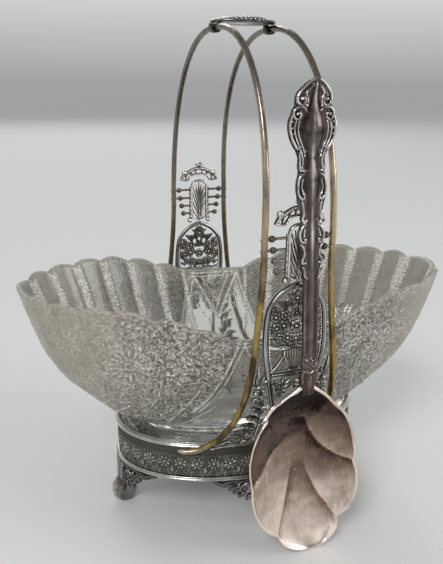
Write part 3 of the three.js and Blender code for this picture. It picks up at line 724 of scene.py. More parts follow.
def floor_finish():
    """Matt pale floor, very slightly mottled."""
    material = new_material("pale_floor")
    pale = colours().floor
    base = colour_mix(noise(6, 4, 0.5) * 0.5, pale, [part * 0.97 for part in pale])
    principled(Base_Color=base, Roughness=0.8).surface()
    return material


finishes = {}


def finish(name):
    """The material of one finish, made once."""
    if name not in finishes:
        look = colours()
        band = look.band_hollow, look.band_mid, look.band_light
        cast = look.cast_hollow, look.cast_mid, look.cast_light
        arch = look.cast_hollow, look.frame_mid, look.frame_light
        top = look.cast_hollow, look.top_mid, look.cast_light
        makers = {
            "frieze": lambda: tarnished("frieze_pewter", band, stained=0.25),
            "moulding": lambda: tarnished("moulding_pewter", band, rough=(0.12, 0.35), stained=0.3),
            "cast": lambda: tarnished("cast_silver", cast),
            "frame": lambda: tarnished("frame_silver", arch, rough=(0.14, 0.35)),
            "top": lambda: tarnished("medallion_silver", top, rough=(0.16, 0.38), fleck=0.15),
            "spoon": spoon_finish,
            "wire": wire_finish,
            "dish": dish_finish,
            "glass": glass_finish,
            "floor": floor_finish,
        }
        finishes[name] = makers[name]()
    return finishes[name]


# the base

frieze_period = 18.1
frieze_start = 62.4
rosette_z = 39.8


def frieze_rosette(tile, x):
    """Eight petals round a boss, with a fan of seven reeds above."""
    for angle in turns(8) + math.pi / 8:
        away = row(math.cos(angle), math.sin(angle))
        near = row(x, rosette_z) + away * 1.25
        far = row(x, rosette_z) + away * 2.75
        tile.stroke([near, far], row(0.3, 0.68), 0.42)
        tile.disc(*far, 0.62, 0.46)
    tile.disc(x, rosette_z, 0.85, 0.5)
    for k in range(-3, 4):
        drop = abs(k) * 0.3
        tile.stroke([(x + k * 0.95, 43.2 - drop), (x + k * 1.25, 45.0 - drop)], [0.16, 0.3], 0.3)


def frieze_reeds(tile, x):
    """Five reeds that spread from a small root, under a pair of hooks."""
    for k in (-2, -1, 0, 1, 2):
        tile.stroke([(x + k * 0.3, 34.8), (x + k * 0.62, 40.6 - abs(k) * 0.9)], [0.16, 0.26], 0.34)
    for k in (-1, 1):
        tile.disc(x + k * 0.8, 33.9, 0.4, 0.34)
        tile.curve([(x + k * 0.5, 43.8), (x + k * 1.7, 42.7), (x + k * 1.3, 41.6)], 0.26, 0.3)
        tile.leaf((x + k * 1.2, 33.4), (x + k * 3.2, 35.6), 0.6, 0.34)
    tile.disc(x, 33.0, 0.38, 0.3)


def frieze_bell(tile, x):
    """A bell-shaped bud between two leaves."""
    tile.leaf((x, 34.0), (x, 38.8), 0.95, 0.42)
    tile.disc(x, 35.0, 0.9, 0.4)
    for k in (-1, 1):
        tile.leaf((x + k * 1.8, 33.6), (x + k * 3.6, 36.2), 0.7, 0.36)
        tile.curve([(x + k * 0.4, 40.0), (x + k * 1.5, 41.4), (x + k * 1.2, 43.0)], 0.26, 0.3)
    tile.curve([(x - 3.4, 33.3), (x, 32.7), (x + 3.4, 33.3)], 0.24, 0.26)


def frieze_tile():
    """One repeat of the band's rolled ornament, with what reaches in from its neighbours."""
    tile = Relief((-4, frieze_period + 4), (band_low_z, band_top_z), 0.1)
    for x0 in (-frieze_period, 0, frieze_period):
        frieze_rosette(tile, x0)
        frieze_rosette(tile, x0 + frieze_period / 2)
        reeds = x0 + frieze_period / 4
        bud = x0 + frieze_period * 0.75
        frieze_reeds(tile, reeds)
        frieze_bell(tile, bud)
        for x in (reeds, bud):
            tile.discs([(x - 1.5, 32.6), (x + 1.5, 32.6)], 0.45, 0.42)
            tile.discs([(x - 3.0, 32.9), (x + 3.0, 32.9)], 0.38, 0.38)
    seeds = 13
    for level, z in enumerate(np.arange(31.9, 48.6, 1.25)):
        for k in range(-seeds // 4, seeds + seeds // 4):
            x = (k + 0.5 * (level % 2)) * frieze_period / seeds
            if tile.sample(x, z) < 0.06:
                tile.disc(x, z, 0.42, 0.34 if z < 45.5 else 0.2)
    return tile


class BASKET_OT_band(bpy.types.Operator):
    """Build the oval band with its rolled frieze"""

    bl_idname = "basket.band"
    bl_label = "Band"

    def execute(self, context):
        depth = context.scene.basket_sizes.frieze_depth / MM
        tile = frieze_tile()
        columns = 1512
        wall = 1.4
        levels = np.linspace(band_low_z, band_top_z, 72)
        arc = np.arange(columns) * oval_length / columns
        along = np.mod(arc - (oval_length * 0.5 - frieze_start), frieze_period)
        high = tile.sample(*np.meshgrid(along, levels, indexing="ij")) / tile.height.max()
        belly = band_bulge * np.sin(fade(levels, band_low_z, band_top_z) * math.pi)
        out = belly - depth * 0.5 + high * depth
        out[:, [0, -1]] = 0
        angle = oval_angle(arc)[:, None]
        outer = on_oval(angle, out, levels)
        inner = on_oval(angle, row(-wall, -wall), row(band_top_z, band_low_z))
        relief = np.concatenate([high, np.full((columns, 2), 0.4)], 1)
        shell = Shell()
        shell.grid(np.concatenate([outer, inner], 1), closed_rows=True, relief=relief)
        shell.build("band_frieze", finish("frieze"), slot="band_silver", replaces=["base_band"])
        return {"FINISHED"}


def bead(out, z, radius, start, end):
    """Part of a circle in a moulding's profile, from one angle to another in degrees."""
    turn = np.radians(np.linspace(start, end, 9))
    return np.column_stack([out + radius * np.cos(turn), z + radius * np.sin(turn)])


class BASKET_OT_mouldings(bpy.types.Operator):
    """Build the bead mouldings over and under the band"""

    bl_idname = "basket.mouldings"
    bl_label = "Mouldings"

    def execute(self, context):
        rim = [[(-1.6, 50.2), (0.5, 50.2)], bead(0.75, 50.75, 0.5, -90, 60), bead(0.55, 51.75, 0.62, -50, 90),
               bead(-0.35, 52.4, 0.6, 30, 150), bead(-1.1, 51.6, 0.5, 60, 180)]
        low = [[(-1.4, 29.5)], bead(0.6, 30.3, 0.78, -90, 60), bead(0.35, 31.45, 0.5, -40, 90),
               [(-1.4, 32.0)]]
        columns = 360
        angle = oval_angle(np.arange(columns) * oval_length / columns)[:, None]
        for name, node, parts, relief in (("rim_bead", "rim_moulding", rim, 0.85),
                                          ("lower_bead", "lower_moulding", low, 0.8)):
            out, z = np.vstack(parts).T
            shell = Shell()
            shell.grid(on_oval(angle, out, z), closed_rows=True, relief=relief)
            shell.build(name, finish("moulding"), replaces=[node])
        return {"FINISHED"}


class BASKET_OT_dish(bpy.types.Operator):
    """Build the polished dish that the glass bowl stands on"""

    bl_idname = "basket.dish"
    bl_label = "Dish"

    def execute(self, context):
        top = smooth_path([(-13.0, 46.0), (-9.5, 46.5), (-6.0, 48.2), (-3.4, 50.6), (-2.3, 51.5)], 0.4)
        under = smooth_path([(-1.9, 50.9), (-2.6, 49.8), (-5.2, 47.2), (-9.3, 45.4), (-13.3, 45.0)], 0.6)
        angle = turns(240)
        shares = (0.2, 0.45, 0.7, 0.88)
        rings = [on_oval(angle, *top[0]) * row(share, share, 1) for share in shares]
        rings += [on_oval(angle, out, z) for out, z in np.vstack([top, under])]
        rings += [on_oval(angle, *under[-1]) * row(share, share, 1) for share in reversed(shares)]
        shell = Shell()
        shell.grid(np.array(rings), caps=True)
        shell.build("dish_tray", finish("dish"), slot="polished_dish", replaces=["dish"])
        return {"FINISHED"}


# the bracket's leaves: base, tip, half width, height and bend, over the distance along the band and z
bracket_leaves = [
    ((24.0, 27.4), (30.2, 27.9), 1.25, 1.2, -0.06), ((23.5, 27.0), (28.2, 26.6), 1.0, 1.1, 0.0),
    ((19.0, 26.2), (25.8, 25.2), 1.3, 1.2, 0.12), ((17.6, 25.0), (22.6, 22.8), 1.3, 1.25, 0.1),
    ((15.5, 23.4), (20.2, 20.9), 1.35, 1.25, 0.1), ((12.5, 21.4), (17.0, 18.0), 1.35, 1.25, 0.1),
    ((9.5, 19.0), (12.6, 15.6), 1.25, 1.2, 0.1),
]


def foot_bracket():
    """Winged bracket of a foot, over s along the band and z: leaves and scrolls on both sides."""
    field = Relief((-34, 34), (6, 30), 0.2)
    for _ in field.both_sides():
        field.curve([(32.6, 28.6), (28.8, 28.3), (25.5, 27.6), (22.0, 28.2), (17.0, 28.6), (9, 28.4),
                     (0, 28.6)], [0.5, 1.1, 1.0, 0.9, 0.9, 1.0, 1.0], 0.9)
        for leaf in bracket_leaves:
            field.leaf(*leaf)
        field.scroll(13.6, 23.4, 3.1, 1.5, 90, 0.72, 1.35, hand=-1)
        field.disc(13.1, 26.3, 1.75, 1.9)
        field.disc(17.1, 26.9, 1.05, 1.5)
        field.curve([(16.8, 25.6), (18.6, 24.8), (19.0, 22.6), (17.4, 20.4), (14.4, 19.2)], 0.75, 1.2)
        field.curve([(11.0, 25.8), (9.0, 23.0), (8.6, 19.0), (7.2, 14.0), (5.5, 9.5)],
                    [0.9, 1.1, 1.2, 1.2, 0.9], 1.2)
        field.curve([(8.0, 27.6), (6.5, 22.0), (6.0, 16.0), (4.6, 11.0)], 1.1, 1.0)
    return field


# the leg from the ground up: half width, front and back from the band's oval, and height
leg_rows = [
    (2.6, -5.2, 0.4, 0), (3.4, -6.4, 1.4, 0.4), (4.2, -7.3, 2.4, 1.2), (5.3, -8.2, 3.4, 3.0),
    (6.2, -8.7, 4.0, 5.0), (7.0, -8.7, 4.6, 8.0), (7.0, -7.4, 4.0, 10.6), (6.2, -5.4, 2.8, 12.8),
    (5.4, -4.0, 1.9, 15.0), (5.2, -3.3, 1.5, 18), (5.7, -2.7, 1.3, 22), (6.6, -2.2, 1.1, 26),
    (7.4, -1.8, 0.9, foot_top_z),
]


def leg_shell(shell, quarter):
    """A foot's leg: a flat-faced stem over a toe that tapers to the ground, with stacked folds."""
    half, rear, fore, z = (column[:, None] for column in smooth_path(leg_rows, 0.3).T)
    turn = turns(96)
    across = np.cos(turn)
    front = np.clip(np.sin(turn), 0, 1)
    toe = fade(z, 12.6, 11.1) * fade(z, 0, 1)
    stem = fade(z, 13.5, 16.5)
    facet = np.exp(-(across / 0.42) ** 4) * front
    folds = np.abs(np.sin((z - 0.6) * math.pi / 3.9)) ** 0.6
    grooves = bell(np.abs(across), 0.36, 0.1) * front
    ribs = bell(np.abs(across), 0.7, 0.12) * front
    recess = bell(z, 14.2, 1.5) * front
    on_toe = toe * (facet * folds * 1.3 - grooves * 0.5 + ribs * 0.4)
    on_stem = stem * (ribs * 0.4 - grooves * 0.5)
    cut = on_toe + on_stem - recess * 0.7
    s = (half + np.clip(cut, -0.5, 0.5) * 0.3) * across
    depth = (fore - rear) / 2 * np.sign(np.sin(turn)) * np.abs(np.sin(turn)) ** 0.8
    out = (fore + rear) / 2 + depth + cut * front
    # the relief follows the cuts, with a highlight painted on the toe's front facets and shade painted on the
    # toe's front beside them
    relief = np.clip(0.62 + cut * 0.8 + 0.55 * toe * facet * folds - 0.2 * toe * (1 - facet) * front, 0, 1)
    points = on_oval(oval_angle(quarter * oval_length / 4 - s), out, z)
    shell.grid(points, relief=relief, caps=True)


class BASKET_OT_feet(bpy.types.Operator):
    """Build the four cast feet with their winged brackets"""

    bl_idname = "basket.feet"
    bl_label = "Feet"

    def execute(self, context):
        field = foot_bracket()
        for quarter, node in enumerate(["foot_right", "foot_back", "foot_left", "foot_front"]):
            start = quarter * oval_length / 4
            shell = Shell()
            field.casting(shell, lambda s, z, out: on_oval(oval_angle(start - s), out + 0.2, z),
                          back=0.7, core=0.35)
            leg_shell(shell, quarter)
            shell.build(node + "_cast", finish("frame"), replaces=[node])
        return {"FINISHED"}


# the handles and what they carry

# a wire's leg at the front, from its curled end up: distance from the middle and height
wire_leg = row([49.5, 50.4], [46.5, 49.9], [43, 50.3], [38.8, 51.6], [35.2, 54.8], [31.8, 59.5], [29.3, 64.5],
               [26.6, 73.5], [24.2, 86], [22.6, 98], [21.3, 110], [20.0, 121.5], [19.0, 132], [18.1, 142],
               [17.5, 152], [17.2, 162])


def handle_path(side):
    """Middle line of one wire, from the band at the front over the top to the band at the back."""
    x, z = wire_leg.T
    clear = np.where(z < 60, 0.9, 0)
    front = np.column_stack([side * x, -(sheet(x, z) + clear), z])
    turn = np.linspace(0, math.pi, 61)
    along = np.cos(turn)
    z = handle_spring_z + (handle_top_z - handle_spring_z) * np.abs(np.sin(turn)) ** (2 / handle_power)
    gap = wire_gap_top + (wire_gap_leg - wire_gap_top) * (handle_top_z - z) / (handle_top_z - handle_spring_z)
    y = -sheet_out * np.sign(along) * np.abs(along) ** (2 / handle_power)
    over = np.column_stack([side * gap / 2, y, z])
    return smooth_path(np.vstack([front, over, front[::-1] * row(1, -1, 1)]), 1.2)


class BASKET_OT_handles(bpy.types.Operator):
    """Build the two wire handles with their curled ends"""

    bl_idname = "basket.handles"
    bl_label = "Handles"

    def execute(self, context):
        radius = context.scene.basket_sizes.wire_radius / MM
        for name, side in (("handle_left", -1), ("handle_right", 1)):
            path = handle_path(side)
            done = np.concatenate([[0], np.cumsum(np.linalg.norm(np.diff(path, axis=0), axis=1))])
            from_end = np.minimum(done, done[-1] - done)
            radii = np.interp(from_end, [0, 1.5, 4, 9], [0.55, 1.05, 1.45, radius])
            wobble = 1 + 0.02 * np.sin(done * 0.31 + side) + 0.015 * np.sin(done * 0.83)
            up = np.maximum(fade(path[:, 2], 135, 225), 0.95 * bell(from_end, 0, 13))
            # painted shade: darker towards the top and over the back half
            painted_shade = np.maximum(np.minimum((path[:, 2] - 210) / 35, 0.75), np.clip(path[:, 1] / 30, 0, 0.7))
            shell = Shell()
            shell.rod(path, radii * wobble, 24, relief=up[:, None])
            for face in (-1, 1):
                near = path[path[:, 1] * face > 60]
                for z in (169.1, 163.8):
                    shell.hoop(near[np.argmin(np.abs(near[:, 2] - z))], radius + 0.1, 0.45, relief=0.5)
            along = np.vstack(shell.points)
            nearest = np.argmin(np.linalg.norm(along[:, None, :] - path[None, :, :], axis=-1), axis=1)
            shell.build(name + "_wire", finish("wire"), slot="worn_wire", replaces=[name],
                        extra={"painted_shade": painted_shade[nearest]})
        return {"FINISHED"}


# the medallion's section: share of its half width, and height
medallion_rows = [
    (0.4, 264.45), (0.86, 264.4), (0.955, 264.45), (0.99, 264.8), (1.0, 265.2), (0.985, 265.65),
    (0.95, 265.95), (0.9, 265.9), (0.86, 265.6), (0.82, 265.75), (0.79, 266.2), (0.72, 266.75),
    (0.5, 267.6), (0.25, 268.2), (0.08, 268.45),
]


def medallion_shell():
    """A low dome with a gadrooned shoulder and forty small balls round its edge."""
    low, high = node_box("top_medallion")
    a = (high[0] - low[0]) / 2
    b = (high[1] - low[1]) / 2
    share, z = (column[:, None] for column in smooth_path(medallion_rows, 0.03).T)
    turn = turns(96)
    gadroon = np.clip(1 - np.abs(share - 0.64) / 0.16, 0, 1) * (z > 266)
    lift = gadroon * np.abs(np.sin(turn * 14)) * 0.25
    dome = np.stack([share * a * np.cos(turn), share * b * np.sin(turn), z + lift], -1)
    shell = Shell()
    shell.grid(dome, relief=np.clip(0.55 + lift * 1.2 - gadroon * 0.25, 0, 1), caps=True)
    for angle in turns(40):
        shell.ball((a * 0.9 * math.cos(angle), b * 0.9 * math.sin(angle), 265.95), 0.55, 10, relief=0.9)
    return shell


def strap_shell(middle):
    """A strip bent round a wire from below, with slightly narrowed edges."""
    end_z = 264.15
    turn = np.linspace(math.pi, 2 * math.pi, 25)
    sides = []
    for radius in (1.9, 2.75):
        arc = np.column_stack([middle + radius * np.cos(turn), handle_top_z + radius * np.sin(turn)])
        sides.append(np.vstack([(middle - radius, end_z), arc, (middle + radius, end_z)]))
    outline = np.vstack([sides[0], sides[1][::-1]])
    centre = outline.mean(0)
    rings = []
    for y, inset in ((-2.5, 0.0225), (-2.3, 0), (-0.3, 0), (0, -0.018), (0.3, 0), (2.3, 0), (2.5, 0.0225)):
        x, z = (outline + (centre - outline) * inset).T
        rings.append(np.column_stack([x, np.full(len(x), y), z]))
    rows = len(rings)
    columns = len(outline)
    k = np.arange(columns // 2 - 1)
    lids = np.stack([k, k + 1, columns - 2 - k, columns - 1 - k], -1)
    shell = Shell()
    faces = [grid_faces(rows, columns, closed_columns=True), lids, lids[:, ::-1] + (rows - 1) * columns]
    shell.add(rings, faces, relief=0.15)
    return shell


class BASKET_OT_medallion(bpy.types.Operator):
    """Build the oval medallion on top and the straps that hold it"""

    bl_idname = "basket.medallion"
    bl_label = "Medallion"

    def execute(self, context):
        medallion_shell().build("medallion_dome", finish("top"), replaces=["top_medallion"])
        for name, side in (("medallion_clasp_left", -1), ("medallion_clasp_right", 1)):
            strap_shell(side * wire_gap_top / 2).build(name + "_strap", finish("top"), replaces=[name])
        return {"FINISHED"}


# the arch: half its width at each height, and the width of its metal
arch_keys = [53.5, 64, 77, 93, 102, 110.7, 118, 126, 132, 136.5, 140.3, 144.2, 146.8, 148]
arch_half = [5.4, 6.2, 7.9, 12.0, 14.5, 16.2, 16.8, 16.6, 16.0, 15.0, 12.6, 8.7, 3.9, 0]
arch_metal = 2.4


def arch_line(inset):
    """The arch's outline moved inward, from its left foot over the top to its right foot."""
    right = np.column_stack([arch_half, arch_keys])
    line = smooth_path(np.vstack([right[:-1] * row(-1, 1), right[::-1]]), 0.8)
    ahead = np.gradient(line, axis=0)
    ahead /= np.linalg.norm(ahead, axis=1)[:, None]
    return line + np.column_stack([ahead[:, 1], -ahead[:, 0]]) * inset


def arch_reach(z, gap=0.75):
    """How far from the middle something may reach inside the arch at a height."""
    return np.interp(z, arch_keys, arch_half) - arch_metal - gap


def arch_frame():
    """The arch's metal, with a bead along its outer edge and a groove within."""
    field = Relief((-18, 18), (52, 149.5), 0.25)
    field.stroke(arch_line(arch_metal / 2), arch_metal / 2, 1.3)
    field.stroke(arch_line(0.4), 0.35, 1.0)
    field.stroke(arch_line(arch_metal * 0.72), 0.14, 0.5, cut=True)
    return field


# flowers of the screen as x, z, radius and turn, and its leaves as base, tip and half width
screen_flowers = [(10.8, 131.7, 2.5, 0.3), (5.8, 132.3, 2.4, 0.8), (6.5, 127.2, 2.9, 0.1),
                  (4.3, 120.9, 2.5, 0.5), (10.2, 126.2, 2.5, 0.9), (8.3, 121.2, 2.2, 0.2)]
screen_leaves = [
    ((1.0, 139.0), (5.2, 142.4), 1.2), ((3.4, 136.6), (7.4, 138.2), 1.1), ((5.8, 135.4), (9.8, 139.0), 1.2),
    ((8.6, 133.8), (12.4, 136.2), 1.1), ((12.2, 130.4), (13.8, 134.2), 0.9),
    ((12.0, 124.6), (13.9, 128.4), 0.9),
    ((1.6, 134.6), (3.0, 138.2), 0.9), ((0.2, 133.8), (2.9, 130.2), 1.1), ((10.4, 121.8), (13.6, 124.6), 1.0),
    ((10.0, 118.4), (13.4, 120.4), 1.0), ((5.8, 117.6), (8.6, 119.6), 0.9), ((1.6, 118.2), (4.0, 116.4), 0.9),
    ((2.2, 142.8), (0.9, 145.2), 0.9),
]


def flower_screen():
    """Flowers and leaves that fill the arch, with gaps between them."""
    field = Relief((-15, 15), (113, 146.5), 0.2)
    for x, z, radius, turn in screen_flowers:
        for side in (1, -1):
            field.flower(side * x, z, radius, 6, 1.1, turn=side * turn, eye=0.32)
    for _ in field.both_sides():
        for base, tip, half in screen_leaves:
            field.leaf(base, tip, half, 1.0, bend=0.12)
        field.curve([(0, 116.4), (3, 116.0), (6, 116.6), (10, 116.2), (13.6, 117.2)], 0.6, 0.9)
        field.curve([(4.3, 118.2), (6.2, 123.6), (8.8, 129.2), (11.0, 134.2)], 0.5, 0.8)
        field.curve([(1.4, 124.0), (3.6, 128.6), (4.8, 134.6), (3.0, 139.8), (0.6, 144.6)], 0.5, 0.8)
    field.flower(0, 140.2, 3.2, 5, 1.25, turn=math.pi / 2)
    field.flower(0, 126.4, 2.8, 6, 1.2, turn=0.3, eye=0.32)
    field.flower(0, 120.2, 2.4, 5, 1.1, turn=-0.3, eye=0.32)
    field.flower(0, 132.8, 2.2, 5, 1.0, turn=0.6, eye=0.32)
    for _ in field.both_sides():
        for z in np.arange(117.5, 136, 1.5):
            edge = arch_reach(z)
            field.disc(edge, z, 0.62, 0.9)
            field.stroke([(edge, z), (edge, z + 1.5)], 0.3, 0.6)
    return field


def urn_stand():
    """A fluted basket on a small base, with a slanting strut on each side."""
    field = Relief((-15, 15), (102.5, 117), 0.2)
    for k in range(-4, 5):
        top = k * 1.32
        foot = k * 0.5
        field.curve([(foot, 104.2), (foot * 1.8, 107.4), (top * 1.02, 111.8), (top, 115.0)],
                    [0.4, 0.62, 0.78, 0.72], 1.3 - 0.05 * abs(k))
    field.curve([(-6.2, 115.4), (0, 115.8), (6.2, 115.4)], 0.75, 1.35)
    field.curve([(-2.6, 103.9), (0, 103.7), (2.6, 103.9)], 0.6, 1.2)
    for _ in field.both_sides():
        field.stroke([(4.6, 113.4), (9.9, 105.6), (arch_reach(105, 1.0), 103.9)], [0.5, 0.65, 0.8], 1.0)
        field.stroke([(5.4, 114.9), (13.2, 116.2)], [0.55, 0.6], 1.0)
        for z in np.arange(104.0, 116.2, 1.5):
            edge = arch_reach(z)
            field.disc(edge, z, 0.55, 0.9)
            field.stroke([(edge, z), (edge + 0.15, z + 1.2)], 0.3, 0.6)
        field.curve([(0.6, 103.7), (6, 103.5), (11.4, 103.4)], 0.4, 0.7)
    return field


# a palmette's leaves: how far its tip reaches sideways, heights of tip and base, and half width
palmette_leaves = [(4.3, -1.6, -3.8, 0.8), (4.1, -4.2, -6.2, 0.85), (3.4, -7.0, -8.6, 0.8),
                   (2.2, -10.2, -11.0, 0.7)]


def palmette_bar():
    """The crossbar with two palmettes that hang under it."""
    field = Relief((-13.5, 13.5), (84.5, 103.5), 0.2)
    for z, half, height in ((101.0, 1.35, 0.8), (102.0, 0.5, 1.25), (100.1, 0.45, 1.1)):
        reach = arch_reach(z) - half * 0.4
        field.stroke([(-reach, z), (reach, z)], half, height)
    for x in np.arange(-10.2, 10.3, 1.36):
        field.disc(x, 101.0, 0.5, 1.15)
    root_z = 100.4
    for middle in (-4.9, 4.9):
        for side in (1, -1):
            for dx, tip_z, base_z, half in palmette_leaves:
                limit = arch_reach(root_z + tip_z, 0.9) - abs(middle)
                reach = min(dx, max(limit, 0.6)) if side * middle > 0 else min(dx, 4.4)
                base = middle, root_z + base_z - 1.0
                tip = middle + side * reach, root_z + tip_z
                field.leaf(base, tip, half, 1.05, bend=-0.14 * side)
        field.curve([(middle, 99.8), (middle, 92.0), (middle, 87.2)], [0.7, 0.6, 0.35], 1.2)
        field.leaf((middle, 95.2), (middle, 100.2), 0.9, 1.2)
    return field


def hoop_crest():
    """Top of a hoop over the arch, filled with leaves that spring from one point."""
    field = Relief((-7.4, 7.4), (148, 176), 0.2)
    for _ in field.both_sides():
        for points in (((0.2, 150.5), (1.8, 152.4), (4.4, 156.2)), ((0.3, 152.6), (2.0, 156.8), (4.5, 161.8)),
                       ((0.3, 155.2), (2.0, 161.2), (4.5, 167.2)), ((0.3, 158.4), (1.6, 164.6), (3.6, 170.4)),
                       ((0.2, 161.4), (0.9, 167.4), (1.9, 172.0))):
            field.curve(points, [0.6, 0.85, 0.42], 1.1)
        field.curve([(5.1, 150.6), (4.9, 158.0), (4.95, 166.0), (5.0, 170.6), (4.2, 173.2), (2.2, 174.6),
                     (0, 175.0)], 0.7, 1.2)
        field.curve([(0.2, 149.4), (2.4, 150.0), (4.8, 151.2)], 0.55, 0.9)
    field.curve([(0, 149.2), (0, 160), (0, 173.8)], [0.8, 0.7, 0.4], 1.2)
    field.disc(0, 150.4, 1.5, 1.35)
    return field


# a rack's pegs: height, and how far out the ball and the peg's end are
rack_pegs = [(169.1, 13.6, 15.1), (163.8, 12.9, 15.1), (158.8, 12.0, 12.4), (153.8, 10.8, 11.2)]


def peg_rack():
    """Upright bar with four pegs, whose lower end is a knob."""
    field = Relief((4.4, 16), (147.2, 171), 0.15)
    field.stroke([(6.0, 149.4), (5.9, 160.0), (5.9, 170.4)], 0.75, 0.8)
    for z in np.arange(151.4, 169, 2.65):
        field.disc(5.9, z, 0.85, 1.0)
    field.disc(6.3, 149.0, 1.6, 1.6)
    for z, ball_x, end in rack_pegs:
        field.stroke([(6.2, z), (end, z)], [0.7, 0.6], 0.65)
    return field


def peg_balls(shell, place):
    """A ball on each peg with a thin collar before it."""
    for z, ball_x, end in rack_pegs:
        shell.ball(place(row(ball_x), row(z), 0)[0], 1.65, 20, relief=0.5)
        shell.ball(place(row(ball_x - 1.75), row(z), 0)[0], 0.85, 12, relief=0.5, squash=(0.45, 1, 1))


def roof_scroll():
    """Curved roof with upturned ends, arched gaps under it and a beaded edge."""
    field = Relief((-13.2, 13.2), (173.6, 184.2), 0.15)
    ridge = row([12.3, 175.8], [11.0, 177.6], [9.0, 179.2], [6.4, 180.8], [3.2, 182.4], [0, 182.8])
    for _ in field.both_sides():
        field.curve(ridge, [0.45, 0.9, 1.1, 1.1, 1.0, 0.9], 1.5)
        for x in 12.3 * (1 - np.linspace(0.12, 0.95, 9)):
            field.disc(x, np.interp(x, ridge[::-1, 0], ridge[::-1, 1]) + 0.2, 0.55, 1.8)
        field.curve([(12.2, 175.9), (9.4, 175.2), (7.2, 175.6), (6.2, 177.2), (4.6, 178.6), (2.2, 179.2),
                     (0, 179.2)], 0.6, 1.2)
        for x, low, high in ((8.6, 175.4, 179.4), (5.4, 178.0, 181.0), (2.2, 179.2, 182.2)):
            field.stroke([(x, low), (x, high)], 0.5, 1.0)
        field.disc(knob_x, knob_z, 1.2, 1.2)
    return field


# the spray's stems with half their widths, its leaves as base, tip, half width and bend, its
# scrolls as x, z, radius and hand, and its berries as x, z and radius
vine_strokes = [
    ([(18.7, 107.8), (18.2, 103.6), (17.4, 99.6), (16.4, 95.0), (15.6, 90.6), (14.6, 85.6), (13.6, 80.0),
      (13.0, 74.2), (12.6, 68.6), (12.6, 62.6), (13.6, 57.8)],
     [0.3, 0.5, 0.6, 0.6, 0.6, 0.7, 0.7, 0.7, 0.7, 0.7, 0.6]),
    ([(13.6, 57.8), (16.6, 55.4), (20.6, 54.8), (25.2, 54.0), (29.6, 52.6), (33.6, 51.6)],
     [0.8, 0.9, 0.9, 0.8, 0.7, 0.4]),
    ([(18.8, 104.6), (18.4, 100.4), (19.2, 97.6)], [0.4, 0.7, 0.3]),
    ([(22.6, 60.6), (25.6, 58.4), (28.6, 56.2), (30.6, 53.8)], [0.5, 0.9, 0.8, 0.4]),
]
vine_leaves = [
    ((17.2, 97.8), (15.4, 102.6), 0.9, 0.1), ((16.6, 96.8), (19.2, 103.0), 1.0, -0.1),
    ((16.4, 91.2), (19.8, 94.0), 1.1, 0.15), ((15.4, 90.8), (13.6, 94.6), 0.9, -0.15),
    ((15.4, 84.2), (20.6, 89.2), 1.3, 0.15), ((13.8, 83.0), (11.6, 88.0), 0.9, -0.1),
    ((14.2, 78.2), (20.6, 83.0), 1.3, 0.18), ((13.0, 77.4), (10.8, 81.0), 0.8, -0.15),
    ((13.8, 71.6), (21.8, 77.2), 1.5, 0.18), ((14.2, 67.2), (22.8, 70.6), 1.5, 0.2),
    ((12.4, 70.2), (9.8, 74.4), 0.8, -0.1), ((12.4, 64.2), (9.8, 68.6), 0.9, -0.1),
    ((14.6, 62.6), (24.4, 65.8), 1.5, 0.2), ((18.2, 58.8), (26.0, 62.2), 1.3, 0.15),
    ((12.8, 60.4), (10.4, 62.4), 0.9, 0.1), ((20.4, 55.0), (27.4, 59.8), 1.2, 0.15),
    ((24.4, 54.2), (31.4, 55.4), 1.0, 0.15),
]
vine_scrolls = [(17.0, 56.6, 2.5, 1), (18.2, 75.0, 2.0, -1), (17.2, 81.6, 1.8, 1), (17.8, 69.0, 1.9, 1),
                (16.6, 62.4, 2.1, -1), (18.0, 88.6, 1.5, 1)]
vine_berries = [(17.6, 96.1, 1.25), (15.0, 93.6, 0.9), (18.8, 92.6, 0.9), (14.4, 99.0, 0.9),
                (25.1, 57.8, 1.0), (28.3, 56.3, 0.95), (32.5, 51.9, 0.9), (22.4, 53.6, 0.9)]


def vine_spray():
    """Leafy spray that runs from under a handle down to the band's rim, for the right side."""
    field = Relief((7.5, 36), (48.5, 110), 0.2)
    for points, halves in vine_strokes:
        field.curve(points, halves, 1.1)
    for base, tip, half, bend in vine_leaves:
        field.leaf(base, tip, half, 1.15, bend)
    for x, z, radius, hand in vine_scrolls:
        field.scroll(x, z, radius, 1.4, 200, 0.6, 1.3, hand=hand)
    for x, z, radius in vine_berries:
        field.disc(x, z, radius, 1.5)
    return field


def finial_shell(side):
    """Small turned knob on the roof."""
    turned = smooth_path([(0.3, 183.75), (0.95, 183.8), (1.3, 184.1), (2.2, 184.4), (2.6, 185.2),
                          (2.1, 186.1), (1.1, 186.7), (0.3, 186.98)], 0.12)
    radius, z = (column[:, None] for column in turned.T)
    turn = turns(32)
    x = radius * np.cos(turn)
    points = np.stack([x, side * sheet_out + radius * np.sin(turn), np.broadcast_to(z, x.shape)], -1)
    shell = Shell()
    shell.grid(points, relief=0.8, caps=True)
    return shell


